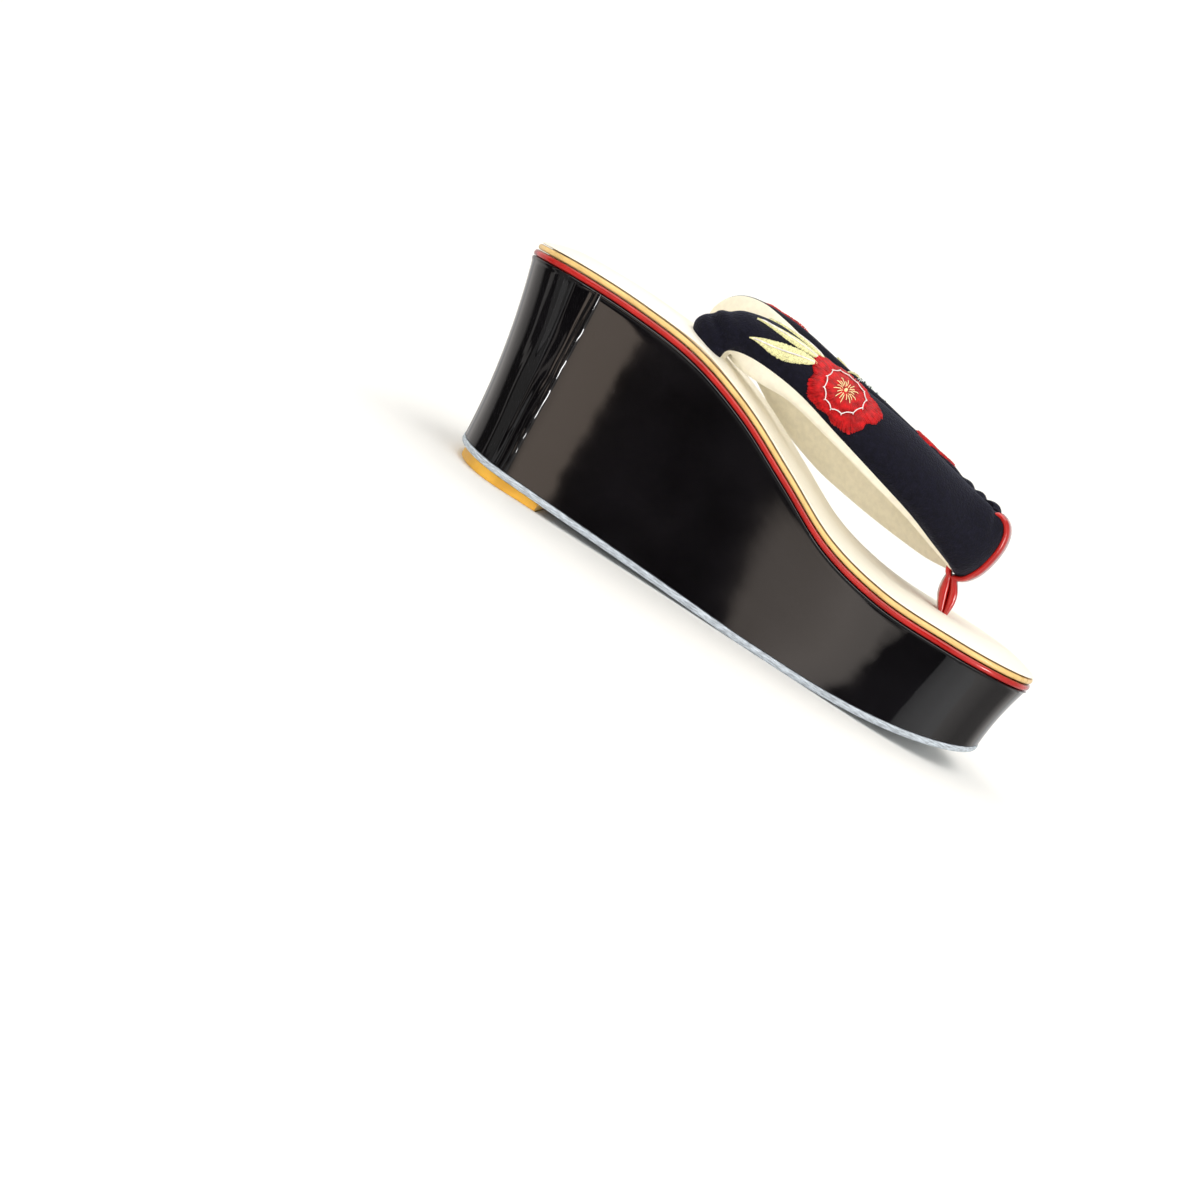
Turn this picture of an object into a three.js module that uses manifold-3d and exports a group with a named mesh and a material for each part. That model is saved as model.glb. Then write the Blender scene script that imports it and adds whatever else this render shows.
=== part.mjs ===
// Zori for the left foot: a tall wedge sandal with a padded thong strap.
// Millimetres. +X points to the toe, +Y to the wearer's left and +Z up. The floor is z = 0.

import * as THREE from 'three';
import { mergeVertices } from 'three/addons/utils/BufferGeometryUtils.js';
import Module from 'manifold-3d';

const wasm = await Module();
wasm.setup();

// Driving dimensions
const LENGTH = 239; // top rim, heel to toe
const FIT_GAP = 0.3; // clearance where two curved pieces meet
const HEEL_UNDERCUT = 13.6; // the heel's foot lies this far in front of the rim
const TOE_UNDERCUT = 3.6;
const WALL_HOLLOW = 0.03; // depth of the hollow walls, as a share of their height
const OUTSOLE_THICK = 2.5;
const OUTSOLE_PROUD = 0.3; // the outsole's edge stands out beyond the platform
const OUTSOLE_BEVEL = 0.6;
const LIFT_LENGTH = 42;
const LIFT_INSET = 2.6;
const RED_HEIGHT = 2.3;
const GOLD_HEIGHT = 2.1;
const GOLD_SETBACK = 0.4;
const PIPING_DEPTH = 5; // how far the piping reaches in under the insole's edge
const PIPING_ROUND = { reach: 0.9, cheek: 0.2, cheekRise: 0.6 }; // its rounded outer edge
const INSOLE_SETBACK = 0.9;
const INSOLE_LIP = 0.8; // underside of the insole's edge, in from the edge
const INSOLE_CROWN = 3.4; // height of the padded middle above the insole's edge
const EDGE_RISE = 0.5; // upright part of the insole's edge
const CROWN_ROLL = 18; // distance from the edge over which the padding rises
const THONG_X = 78; // foot of the front loop's stem
const THONG_Y = -4; // towards the big toe, which is on the right of a left foot
const LOOP_WIDTH = 12;
const LOOP_THICK = 1.8;
const STEM_THICK = 5.8; // two plies
const STEM_DEPTH = 4.5; // into the insole
const STEM_LEAN = 4; // the stem's top lies this far behind its foot
const STEM_OVERLAP = 2; // the stem runs on into the strip round the bend
const SLIT_WIDTH = 0.7; // between the two plies
const SLIT_HEIGHT = 7;
const SLIT_START = 0.8; // above the insole
const BEND_RADIUS = 15; // plan radius of the strap's bend under the loop

// Fineness of the meshes
const STATIONS = 44; // along the outline, on each side
const WALL_STEPS = 5;
const CROWN_INSETS = [0, 0.6, 2.6, 5.6, 9.6, 14.6, 20, 27]; // rings of the insole's top, from its edge
const SHORTEST_ROUND = 6; // of an outline's end, when it is drawn far inside
const STRAP_RING = 18;
const STRAP_STEPS = 3; // sections for each row of the strap's table
const SLOPE_STEP = 0.004; // share of the strap over which its direction is taken
const LOOP_STEPS = 4;
const MERGE_DISTANCE = 1e-4;

// Half width of the rim along the shoe, and how far the platform's foot stands out beyond it
const WIDTHS = [
  { x: -85, rim: 38.0, flare: 6.5 },
  { x: -50, rim: 37.2, flare: 5.0 },
  { x: -15, rim: 36.4, flare: 3.5 },
  { x: 20, rim: 36.6, flare: 2.0 },
  { x: 55, rim: 38.0, flare: 1.0 },
  { x: 85, rim: 38.5, flare: 0.5 },
];

// Height of the red piping's middle above the floor
const RIM_LINE = [
  { x: -119.5, z: 76.6 },
  { x: -94.5, z: 78.2 },
  { x: -69.5, z: 78.0 },
  { x: -44.5, z: 75.4 },
  { x: -19.5, z: 67.7 },
  { x: 5, z: 56.2 },
  { x: 29.5, z: 44.5 },
  { x: 54.5, z: 39.1 },
  { x: 84.5, z: 38.6 },
  { x: 119.5, z: 39.5 },
];

// Underside of the outsole: a ramp up to the heel, a flat forefoot and a toe spring
const TREAD = { rampEnd: 20, rampSlope: 0.0385, flatEnd: 42, springRate: 0.0018 };

// Rounded ends of the rim and of the foot: length of the round part and its fullness
const RIM_ENDS = { heelRound: 32, heelFull: 2.3, toeRound: 50, toeFull: 2.35 };
const FOOT_ENDS = { heelRound: 29, heelFull: 2.3, toeRound: 50, toeFull: 2.3 };

// The strap, a row for each section from the bend to the root, on its right and left halves.
// The outer edge is the lower one and carries the seam, the inner edge lies over the instep.
// Thickness is given over and under the line between them. The padding is pressed flat inside the bend.
const STRAP = [
  { at: 'bend', over: 6.5, under: 1.6, arch: 0.5,
    right_outer: [73.2, -4, 59.8], right_inner: [76.6, -4, 84.8],
    left_outer: [73.2, -4, 59.8], left_inner: [76.6, -4, 84.8] },
  { at: 'turn', over: 6.75, under: 3, arch: 1,
    right_outer: [71, -13, 60.5], right_inner: [72, -6.5, 86.7],
    left_outer: [70.5, 5, 58.5], left_inner: [72, -1.5, 87.2] },
  { at: 'front', over: 7.5, under: 5.5, arch: 1,
    right_outer: [62, -19.5, 64.5], right_inner: [61.5, -7, 88],
    left_outer: [62, 14.5, 58.2], left_inner: [61.5, 1.5, 89] },
  { at: 'ball', over: 8, under: 7.5, arch: 1.5,
    right_outer: [48, -28, 70.5], right_inner: [50, -8.5, 89],
    left_outer: [48, 26.5, 59.5], left_inner: [50, 6, 90] },
  { at: 'instep', over: 8.5, under: 8.5, arch: 2,
    right_outer: [31, -35.5, 76], right_inner: [33, -10, 90.5],
    left_outer: [31, 36, 61.5], left_inner: [33, 12, 93.5] },
  { at: 'middle', over: 8.5, under: 8.5, arch: 2,
    right_outer: [12, -39, 81.5], right_inner: [13, -10, 91.8],
    left_outer: [12, 41, 64.5], left_inner: [13, 16, 98.5] },
  { at: 'back', over: 8, under: 8, arch: 2,
    right_outer: [-6, -40, 86.5], right_inner: [-8, -11, 93.2],
    left_outer: [-8, 41.4, 71], left_inner: [-8, 18, 102.5] },
  { at: 'hump', over: 7.5, under: 7.5, arch: 2,
    right_outer: [-20, -38.5, 88], right_inner: [-28, -14, 95],
    left_outer: [-21, 40, 78], left_inner: [-28, 19, 105] },
  { at: 'shoulder', over: 6.5, under: 6, arch: 1.5,
    right_outer: [-30, -36, 87], right_inner: [-44, -19, 93],
    left_outer: [-31, 36, 83.5], left_inner: [-46, 20, 103] },
  { at: 'root', over: 5.25, under: 5, arch: 1,
    right_outer: [-36, -32, 83.5], right_inner: [-51, -24.5, 88],
    left_outer: [-37, 31.5, 83.5], left_inner: [-54, 23.5, 94] },
  { at: 'foot', over: 4.25, under: 4.2, arch: 0,
    right_outer: [-37, -27, 78], right_inner: [-50, -24.5, 81],
    left_outer: [-37, 27, 78], left_inner: [-52, 24.5, 81] },
];
const STRAP_FULLNESS = 2.4;

const FINISHES = {
  heel_lift: { color: 0xd89a38, roughness: 0.55, metalness: 0 },
  outsole: { color: 0xaeb6be, roughness: 0.9, metalness: 0 },
  platform: { color: 0x0d0c0e, roughness: 0.08, metalness: 0 },
  red_piping: { color: 0xb3201c, roughness: 0.25, metalness: 0 },
  gold_piping: { color: 0xe0b968, roughness: 0.35, metalness: 0.2 },
  insole: { color: 0xf3ead6, roughness: 0.6, metalness: 0 },
  strap: { color: 0x17171c, roughness: 0.85, metalness: 0 },
  front_loop: { color: 0xb0181c, roughness: 0.2, metalness: 0 },
};

// Smooth function of x through one column of a table
function smoothColumn(rows, column) {
  const places = rows.map((row) => row.x);
  const values = rows.map((row) => row[column]);
  const spline = new THREE.CubicInterpolant(places, values, 1);
  const first = places[0];
  const last = places[places.length - 1];
  return (x) => spline.evaluate(THREE.MathUtils.clamp(x, first, last))[0];
}

const rimHalf = smoothColumn(WIDTHS, 'rim');
const flareAt = smoothColumn(WIDTHS, 'flare');
const rimLine = smoothColumn(RIM_LINE, 'z');
const footHalf = (x) => rimHalf(x) + flareAt(x);

function treadHeight(x) {
  const ramp = TREAD.rampSlope * Math.max(0, TREAD.rampEnd - x);
  const spring = TREAD.springRate * Math.max(0, x - TREAD.flatEnd) ** 2;
  return ramp + spring;
}

// Outline of the shoe seen from above, a ring from the heel tip along the right side and back
function outline(shape, inset) {
  const back = shape.heel + inset;
  const front = shape.toe - inset;
  const roundOff = (distance, round, fullness) => {
    const reach = Math.max(SHORTEST_ROUND, round - inset);
    const left = THREE.MathUtils.clamp(1 - distance / reach, 0, 1);
    return (1 - left ** fullness) ** (1 / fullness);
  };
  const right = [];
  for (let i = 0; i < STATIONS; i++) {
    const share = (1 - Math.cos((Math.PI * i) / (STATIONS - 1))) / 2;
    const x = back + (front - back) * share;
    const ends = roundOff(x - back, shape.heelRound, shape.heelFull)
      * roundOff(front - x, shape.toeRound, shape.toeFull);
    right.push(new THREE.Vector3(x, -(shape.half(x) - inset) * ends, 0));
  }
  const left = right.slice(1, -1).reverse().map((p) => new THREE.Vector3(p.x, -p.y, 0));
  return [...right, ...left];
}

const RIM = { heel: -LENGTH / 2, toe: LENGTH / 2, half: rimHalf, ...RIM_ENDS };
const FOOT = { heel: RIM.heel + HEEL_UNDERCUT, toe: RIM.toe - TOE_UNDERCUT, half: footHalf, ...FOOT_ENDS };

// Ring of an outline lifted to a height that may change along the shoe
function ringAt(shape, inset, height) {
  return outline(shape, inset).map((p) => p.setZ(height(p.x)));
}

// Closed mesh over a run of rings. The run joins up with its start, or its ends are
// closed by strips from each point to the one across the ring.
function loft(rings, joined) {
  const count = rings[0].length;
  const faces = [];
  const quad = (a, b, c, d) => faces.push(a, b, c, a, c, d);
  const spans = joined ? rings.length : rings.length - 1;
  for (let r = 0; r < spans; r++) {
    const here = r * count;
    const next = ((r + 1) % rings.length) * count;
    for (let k = 0; k < count; k++) {
      const l = (k + 1) % count;
      quad(here + k, here + l, next + l, next + k);
    }
  }
  const cap = (start, turned) => {
    for (let i = 0; i < count / 2; i++) {
      const j = (count - i) % count;
      const corners = [start + i, start + j, start + j - 1 + (j === 0 ? count : 0), start + i + 1];
      quad(...(turned ? corners.reverse() : corners));
    }
  };
  if (!joined) {
    cap(0, false);
    cap((rings.length - 1) * count, true);
  }
  return solidFrom(rings.flat(), faces);
}

// Manifold solid from points and faces, with its faces turned outwards
function solidFrom(points, faces) {
  const proper = [];
  for (let f = 0; f < faces.length; f += 3) {
    const [a, b, c] = faces.slice(f, f + 3);
    if (a !== b && b !== c && c !== a) proper.push(a, b, c);
  }
  const geometry = new THREE.BufferGeometry().setFromPoints(points);
  geometry.setIndex(proper);
  let volume = 0;
  for (let f = 0; f < proper.length; f += 3) {
    const [a, b, c] = proper.slice(f, f + 3).map((i) => points[i]);
    volume += a.dot(new THREE.Vector3().crossVectors(b, c));
  }
  if (volume < 0) geometry.setIndex(proper.reverse());
  return toSolid(geometry);
}

function toSolid(geometry) {
  const bare = geometry.clone();
  bare.deleteAttribute('normal');
  bare.deleteAttribute('uv');
  const merged = mergeVertices(bare, MERGE_DISTANCE);
  const vertProperties = new Float32Array(merged.attributes.position.array);
  const triVerts = new Uint32Array(merged.index.array);
  return new wasm.Manifold(new wasm.Mesh({ numProp: 3, vertProperties, triVerts }));
}

function toMesh(solid, name) {
  const { vertProperties, triVerts } = solid.getMesh();
  const geometry = new THREE.BufferGeometry();
  geometry.setAttribute('position', new THREE.BufferAttribute(vertProperties, 3));
  geometry.setIndex(new THREE.BufferAttribute(triVerts, 1));
  geometry.computeVertexNormals();
  const mesh = new THREE.Mesh(geometry, new THREE.MeshStandardMaterial(FINISHES[name]));
  mesh.name = name;
  return mesh;
}

// Heel lift: a wedge with a straight front edge and a flat tread
function makeHeelLift() {
  const front = FOOT.heel + LIFT_LENGTH;
  const plan = outline(FOOT, LIFT_INSET).map((p) => p.setX(Math.min(p.x, front)));
  const tread = plan.map((p) => p.clone().setZ(0));
  const seat = plan.map((p) => p.clone().setZ(treadHeight(p.x) - FIT_GAP));
  const unique = tread.findIndex((p) => p.x === front);
  const keep = (ring) => [...ring.slice(0, unique + 1), ...ring.slice(ring.length - unique)];
  return loft([keep(tread), keep(seat)], false);
}

function makeOutsole() {
  const underside = ringAt(FOOT, OUTSOLE_BEVEL - OUTSOLE_PROUD, treadHeight);
  const edgeLow = ringAt(FOOT, -OUTSOLE_PROUD, (x) => treadHeight(x) + OUTSOLE_BEVEL);
  const edgeHigh = ringAt(FOOT, -OUTSOLE_PROUD, (x) => treadHeight(x) + OUTSOLE_THICK);
  return loft([underside, edgeLow, edgeHigh], false);
}

// Platform: walls that lean from the foot to the rim, hollowed between them
function makePlatform() {
  const low = ringAt(FOOT, 0, (x) => treadHeight(x) + OUTSOLE_THICK + FIT_GAP);
  const high = ringAt(RIM, GOLD_SETBACK, (x) => rimLine(x) - RED_HEIGHT / 2 - FIT_GAP);
  const rings = [];
  for (let step = 0; step <= WALL_STEPS; step++) {
    const share = step / WALL_STEPS;
    const ring = low.map((p, i) => p.clone().lerp(high[i], share));
    rings.push(ring.map((p, i) => {
      const before = ring[(i + ring.length - 1) % ring.length];
      const after = ring[(i + 1) % ring.length];
      const inward = new THREE.Vector3(before.y - after.y, after.x - before.x, 0).normalize();
      const height = high[i].z - low[i].z;
      return p.clone().addScaledVector(inward, WALL_HOLLOW * height * 4 * share * (1 - share));
    }));
  }
  return loft(rings, false);
}

// Piping: a ring with a rounded outer edge, laid round the rim
function makePiping(middle, height, setback) {
  const half = height / 2;
  const { reach, cheek, cheekRise } = PIPING_ROUND;
  const section = [
    { inset: PIPING_DEPTH, rise: -half },
    { inset: setback + reach, rise: -half },
    { inset: setback + cheek, rise: -half * cheekRise },
    { inset: setback, rise: 0 },
    { inset: setback + cheek, rise: half * cheekRise },
    { inset: setback + reach, rise: half },
    { inset: PIPING_DEPTH, rise: half },
  ];
  const rings = section.map(({ inset, rise }) => ringAt(RIM, inset, (x) => rimLine(x) + middle + rise));
  return loft(rings, true);
}

const goldMiddle = RED_HEIGHT / 2 + FIT_GAP + GOLD_HEIGHT / 2;
const insoleEdge = goldMiddle + GOLD_HEIGHT / 2 + FIT_GAP;

// Insole: a plug inside the piping, a rolled edge over it and a padded crown
function makeInsole() {
  const plugInset = PIPING_DEPTH + FIT_GAP;
  const crown = (inset) => INSOLE_CROWN * (1 - (1 - Math.min(1, inset / CROWN_ROLL)) ** 2);
  const rings = [
    ringAt(RIM, plugInset, (x) => rimLine(x) - RED_HEIGHT / 2),
    ringAt(RIM, plugInset, (x) => rimLine(x) + insoleEdge),
    ringAt(RIM, INSOLE_SETBACK + INSOLE_LIP, (x) => rimLine(x) + insoleEdge),
  ];
  for (const inset of CROWN_INSETS) {
    const rise = EDGE_RISE + crown(inset);
    rings.push(ringAt(RIM, INSOLE_SETBACK + inset, (x) => rimLine(x) + insoleEdge + rise));
  }
  return loft(rings, false);
}

// Edge of the strap through the table's rows, right root to left root
function strapEdge(edge) {
  const rightWay = STRAP.slice(1).reverse().map((row) => new THREE.Vector3(...row[`right_${edge}`]));
  const leftWay = STRAP.map((row) => new THREE.Vector3(...row[`left_${edge}`]));
  return new THREE.CatmullRomCurve3([...rightWay, ...leftWay], false, 'catmullrom', 0.5);
}

function strapColumn(column) {
  const values = [...STRAP.slice(1).reverse(), ...STRAP].map((row) => row[column]);
  const spline = new THREE.CubicInterpolant(values.map((_, i) => i), values, 1);
  return (share) => spline.evaluate(share * (values.length - 1))[0];
}

// Strap: rounded sections between its two edges, arched over the foot
function strapRings(grow) {
  const outer = strapEdge('outer');
  const inner = strapEdge('inner');
  const overAt = strapColumn('over');
  const underAt = strapColumn('under');
  const archAt = strapColumn('arch');
  const middle = (share) => outer.getPoint(share).lerp(inner.getPoint(share), 0.5);
  const sections = (2 * STRAP.length - 2) * STRAP_STEPS;
  const rounded = (value) => Math.sign(value) * Math.abs(value) ** (2 / STRAP_FULLNESS);
  const rings = [];
  for (let s = 0; s <= sections; s++) {
    const share = s / sections;
    const across = inner.getPoint(share).sub(outer.getPoint(share));
    const ahead = middle(Math.min(1, share + SLOPE_STEP)).sub(middle(Math.max(0, share - SLOPE_STEP)));
    const up = new THREE.Vector3().crossVectors(ahead, across).normalize();
    const half = across.length() / 2 + grow;
    const over = overAt(share) + grow;
    const under = underAt(share) + grow;
    across.normalize();
    const centre = middle(share);
    const ring = [];
    for (let k = 0; k < STRAP_RING; k++) {
      const angle = Math.PI - (2 * Math.PI * k) / STRAP_RING;
      const width = rounded(Math.cos(angle));
      const swell = rounded(Math.sin(angle));
      const lift = swell * (swell > 0 ? over : under) + archAt(share) * (1 - width * width);
      ring.push(centre.clone().addScaledVector(across, width * half).addScaledVector(up, lift));
    }
    rings.push(ring);
  }
  return rings;
}

function makeStrap(grow) {
  return loft(strapRings(grow), false);
}

// Insole's surface at the front loop, and where the stem meets the strap
const stemSeat = rimLine(THONG_X) + insoleEdge + EDGE_RISE + INSOLE_CROWN;
const stemTop = STRAP[0].right_outer[2] + STEM_OVERLAP;

// Middle of the stem seen from the side: upright in the insole, leaning back above it
function stemMiddle(z) {
  return THONG_X - (STEM_LEAN * Math.max(0, z - stemSeat)) / (stemTop - stemSeat);
}

function leaningBar(thick, heights) {
  const front = heights.map((z) => new THREE.Vector2(stemMiddle(z) + thick / 2, z));
  const back = heights.map((z) => new THREE.Vector2(stemMiddle(z) - thick / 2, z));
  return new THREE.Shape([...front, ...back.reverse()]);
}

// Solid with the given side view, running across the shoe at the front loop
function acrossShoe(side, width, steps) {
  const geometry = new THREE.ExtrudeGeometry(side, { depth: width, steps, bevelEnabled: false });
  geometry.rotateX(Math.PI / 2);
  geometry.translate(0, THONG_Y + width / 2, 0);
  return geometry;
}

// Front loop: a strip round the bend and a two-ply stem that goes into the insole
function makeFrontLoop(strapClearance) {
  const rings = strapRings(FIT_GAP + LOOP_THICK);
  const bend = rings[(rings.length - 1) / 2];
  const strip = acrossShoe(new THREE.Shape(bend.map((p) => new THREE.Vector2(p.x, p.z))), LOOP_WIDTH, LOOP_STEPS);
  const places = strip.attributes.position;
  for (let i = 0; i < places.count; i++) {
    const aside = places.getY(i) - THONG_Y;
    places.setX(i, places.getX(i) - (aside * aside) / (2 * BEND_RADIUS));
  }
  const stem = acrossShoe(leaningBar(STEM_THICK, [stemSeat - STEM_DEPTH, stemSeat, stemTop]), LOOP_WIDTH, 1);
  const slitFoot = stemSeat + SLIT_START;
  const slit = acrossShoe(leaningBar(SLIT_WIDTH, [slitFoot, slitFoot + SLIT_HEIGHT]), 2 * LOOP_WIDTH, 1);
  return toSolid(strip).add(toSolid(stem)).subtract(strapClearance).subtract(toSolid(slit));
}

// Room for the stem in the insole
function makeStemPocket() {
  const depth = STEM_DEPTH + FIT_GAP;
  const height = depth + INSOLE_CROWN;
  const pocket = new THREE.BoxGeometry(STEM_THICK + 2 * FIT_GAP, LOOP_WIDTH + 2 * FIT_GAP, height);
  pocket.translate(THONG_X, THONG_Y, stemSeat - depth + height / 2);
  return toSolid(pocket);
}

const strapClearance = makeStrap(FIT_GAP);
const pieces = {
  heel_lift: makeHeelLift(),
  outsole: makeOutsole(),
  platform: makePlatform(),
  red_piping: makePiping(0, RED_HEIGHT, 0),
  gold_piping: makePiping(goldMiddle, GOLD_HEIGHT, GOLD_SETBACK),
  insole: makeInsole().subtract(strapClearance).subtract(makeStemPocket()),
  strap: makeStrap(0),
  front_loop: makeFrontLoop(strapClearance),
};

const zori = new THREE.Group();
for (const [name, solid] of Object.entries(pieces)) {
  zori.add(toMesh(solid, name));
}

export default zori;
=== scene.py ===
"""Zori for the left foot: its finishes, padded strap and embroidery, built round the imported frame."""

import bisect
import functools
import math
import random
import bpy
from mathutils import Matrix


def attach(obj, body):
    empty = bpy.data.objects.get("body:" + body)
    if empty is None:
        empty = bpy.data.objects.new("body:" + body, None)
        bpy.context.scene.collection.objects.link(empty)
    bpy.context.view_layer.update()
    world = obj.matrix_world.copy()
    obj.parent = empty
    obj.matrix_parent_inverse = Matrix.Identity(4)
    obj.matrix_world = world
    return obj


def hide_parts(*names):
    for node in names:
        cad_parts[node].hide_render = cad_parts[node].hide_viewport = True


bl_info = {
    "name": "Zori",
    "version": (1, 0, 0),
    "blender": (4, 5, 0),
    "location": "3D View > Sidebar > Zori",
    "description": "Dresses the packed frame of a tall wedge zori with its finishes, strap and embroidery",
    "category": "Object",
}

from collections import namedtuple

import bmesh
import bpy
from mathutils import Matrix, Vector, noise

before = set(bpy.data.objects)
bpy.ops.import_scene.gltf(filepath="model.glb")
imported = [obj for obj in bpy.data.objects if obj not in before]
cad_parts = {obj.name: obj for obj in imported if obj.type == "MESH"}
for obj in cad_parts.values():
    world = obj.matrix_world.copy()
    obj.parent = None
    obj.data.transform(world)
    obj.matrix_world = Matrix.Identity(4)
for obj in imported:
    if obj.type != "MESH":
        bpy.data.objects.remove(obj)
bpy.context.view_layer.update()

MM = 0.001
BODY = "root"

# Sizes of the frame in millimetres, named as in its source
LENGTH = 239
FIT_GAP = 0.3
HEEL_UNDERCUT = 13.6
TOE_UNDERCUT = 3.6
WALL_HOLLOW = 0.03
OUTSOLE_THICK = 2.5
OUTSOLE_PROUD = 0.3
LIFT_LENGTH = 42
LIFT_INSET = 2.6
RED_HEIGHT = 2.3
GOLD_HEIGHT = 2.1
GOLD_SETBACK = 0.4
PIPING_DEPTH = 5
INSOLE_SETBACK = 0.9
INSOLE_LIP = 0.8
INSOLE_CROWN = 3.4
EDGE_RISE = 0.5
CROWN_ROLL = 18
THONG_X = 78
THONG_Y = -4
LOOP_WIDTH = 12
LOOP_THICK = 1.8
STEM_DEPTH = 4.5
STEM_LEAN = 4
BEND_RADIUS = 15
STRAP_FULLNESS = 2.4
SHORTEST_ROUND = 6
SLOPE_STEP = 0.004

# Place along the shoe, half width of the rim, and how far the platform's foot stands out beyond the rim.
# From the waist to the toe the foot is up to 0.9 mm wider than the frame's, for the patent's reflections
WIDTHS = ((-85, 38.0, 6.5), (-50, 37.2, 5.0), (-15, 36.4, 3.5), (20, 36.6, 2.9), (55, 38.0, 1.4), (85, 38.5, 0.6))

# Place along the shoe, and height of the red piping's middle above the floor
RIM_LINE = ((-119.5, 76.6), (-94.5, 78.2), (-69.5, 78.0), (-44.5, 75.4), (-19.5, 67.7), (5, 56.2), (29.5, 44.5),
            (54.5, 39.1), (84.5, 38.6), (119.5, 39.5))

TREAD = {"ramp_end": 20, "ramp_slope": 0.0385, "flat_end": 42, "spring_rate": 0.0018}

# The strap's sections from the bend to the root: thickness over and under the line between the edges, arch,
# and the outer and inner edges of its right and left halves
Section = namedtuple("Section", "over under arch right left")
STRAP = (
    Section(6.5, 1.6, 0.5, ((73.2, -4, 59.8), (76.6, -4, 84.8)), ((73.2, -4, 59.8), (76.6, -4, 84.8))),
    Section(6.75, 3, 1, ((71, -13, 60.5), (72, -6.5, 86.7)), ((70.5, 5, 58.5), (72, -1.5, 87.2))),
    Section(7.5, 5.5, 1, ((62, -19.5, 64.5), (61.5, -7, 88)), ((62, 14.5, 58.2), (61.5, 1.5, 89))),
    Section(8, 7.5, 1.5, ((48, -28, 70.5), (50, -8.5, 89)), ((48, 26.5, 59.5), (50, 6, 90))),
    Section(8.5, 8.5, 2, ((31, -35.5, 76), (33, -10, 90.5)), ((31, 36, 61.5), (33, 12, 93.5))),
    Section(8.5, 8.5, 2, ((12, -39, 81.5), (13, -10, 91.8)), ((12, 41, 64.5), (13, 16, 98.5))),
    Section(8, 8, 2, ((-6, -40, 86.5), (-8, -11, 93.2)), ((-8, 41.4, 71), (-8, 18, 102.5))),
    Section(7.5, 7.5, 2, ((-20, -38.5, 88), (-28, -14, 95)), ((-21, 40, 78), (-28, 19, 105))),
    Section(6.5, 6, 1.5, ((-30, -36, 87), (-44, -19, 93)), ((-31, 36, 83.5), (-46, 20, 103))),
    Section(5.25, 5, 1, ((-36, -32, 83.5), (-51, -24.5, 88)), ((-37, 31.5, 83.5), (-54, 23.5, 94))),
    Section(4.25, 4.2, 0, ((-37, -27, 78), (-50, -24.5, 81)), ((-37, 27, 78), (-52, 24.5, 81))),
)

# Creases of the crepe: row from the bend, slant in rows over the half turn, reach over the half turn,
# depth and half width in millimetres
Crease = namedtuple("Crease", "half row slant reach depth width")
CREASES = (
    Crease("right", 8.75, -0.5, (0.12, 0.9), 2.6, 1.3),
    Crease("right", 9.15, 0.4, (0.02, 0.6), 1.4, 1.2),
    Crease("right", 8.2, -0.3, (0.3, 0.95), 1.0, 1.6),
    Crease("right", 0.95, 0.3, (0.5, 1.0), 0.9, 1.4),
    Crease("left", 0.55, 0.5, (0.5, 1.3), 2.0, 1.2),
    Crease("left", 1.05, 0.9, (0.42, 1.3), 2.2, 1.5),
    Crease("left", 1.6, 0.8, (0.5, 1.3), 1.7, 1.8),
    Crease("left", 2.3, 0.6, (0.6, 1.3), 1.0, 2.2),
    Crease("left", 8.6, 0.6, (0.1, 0.85), 2.2, 1.5),
    Crease("left", 9.05, 0.8, (0.1, 0.7), 1.3, 1.3),
)
ROW_LENGTH = 9  # millimetres between rows, nearly

# The next tables give a row from the bend and millimetres

# Extra depth of the lining, which rests on the footbed towards the roots
LINING_SAG = {"right": ((4.5, 0), (6, 2.2), (7, 5), (8, 5.5), (9, 2.5), (10, 0)),
              "left": ((4.5, 0), (6, 1), (7, 2), (8, 3.5), (9, 5.5), (10, 1.5))}

# How far the crepe comes down over the outer edge
EDGE_DROP = {"right": ((0, 0), (0.6, 0.6), (1.5, 1.4), (3, 2.1), (5, 2.4), (7, 2.3), (8, 1.6), (9, 0.5), (10, 0)),
             "left": ((0, 0), (2, 1.2), (8, 1.2), (10, 0))}

# Fullness of the crepe beside the front loop
CREST_PUFF = {"right": ((0, 0), (0.6, 0.4), (2, 0)),
              "left": ((0, 0), (0.3, 0.4), (0.7, 2.4), (1.2, 2.4), (2, 1.8), (3, 2.2), (4, 1.6), (5.5, 0))}

# How far the inner edge of the left half is lowered
CREST_DROP = ((0, 0), (3, 0), (4.5, 1), (5.5, 1.8), (6.8, 1.6), (7.8, -0.4), (8.6, -1.2), (9.4, -1), (10, 0))

# Bulge of the right half's inner edge over its root: row from the bend, half width in rows and millimetres
SHOULDER = {"row": 9.1, "width": 0.45, "out": 2.2}

LOOP_ROWS = 1.2  # rows on each side of the bend where the loop holds the seams out
FULL_ROW = 6.5  # row past which the left half's inner seam stands out instead of being drawn in
SEAM_WIDTH = 0.3  # share of the strap's swell over which a seam is drawn in
PADDING_SCALE = 0.06  # fineness of the padding's unevenness

# Camera: place in millimetres, the way it looks and its upward side
CAMERA = {"place": (20.65, -621.1, 90.5), "ahead": (-0.0806, 0.9811, -0.1761), "up": (-0.5459, 0.1044, 0.8313)}

# Fineness of the meshes
STATIONS = 190
WALL_STEPS = 26
CAP_STEPS = 6
STRAP_SECTIONS = 240
BAND_ROWS = 160
BAND_POINTS = 48


def millimetres(name, text, size, most, least=0):
    """Property for a size, given here in millimetres."""
    return bpy.props.FloatProperty(name=name, description=text, default=size * MM, min=least * MM, max=most * MM,
                                   precision=5, unit="LENGTH")


def swatch(name, text, *rgb):
    """Property for a colour."""
    return bpy.props.FloatVectorProperty(name=name, description=text, default=rgb, subtype="COLOR")


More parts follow.
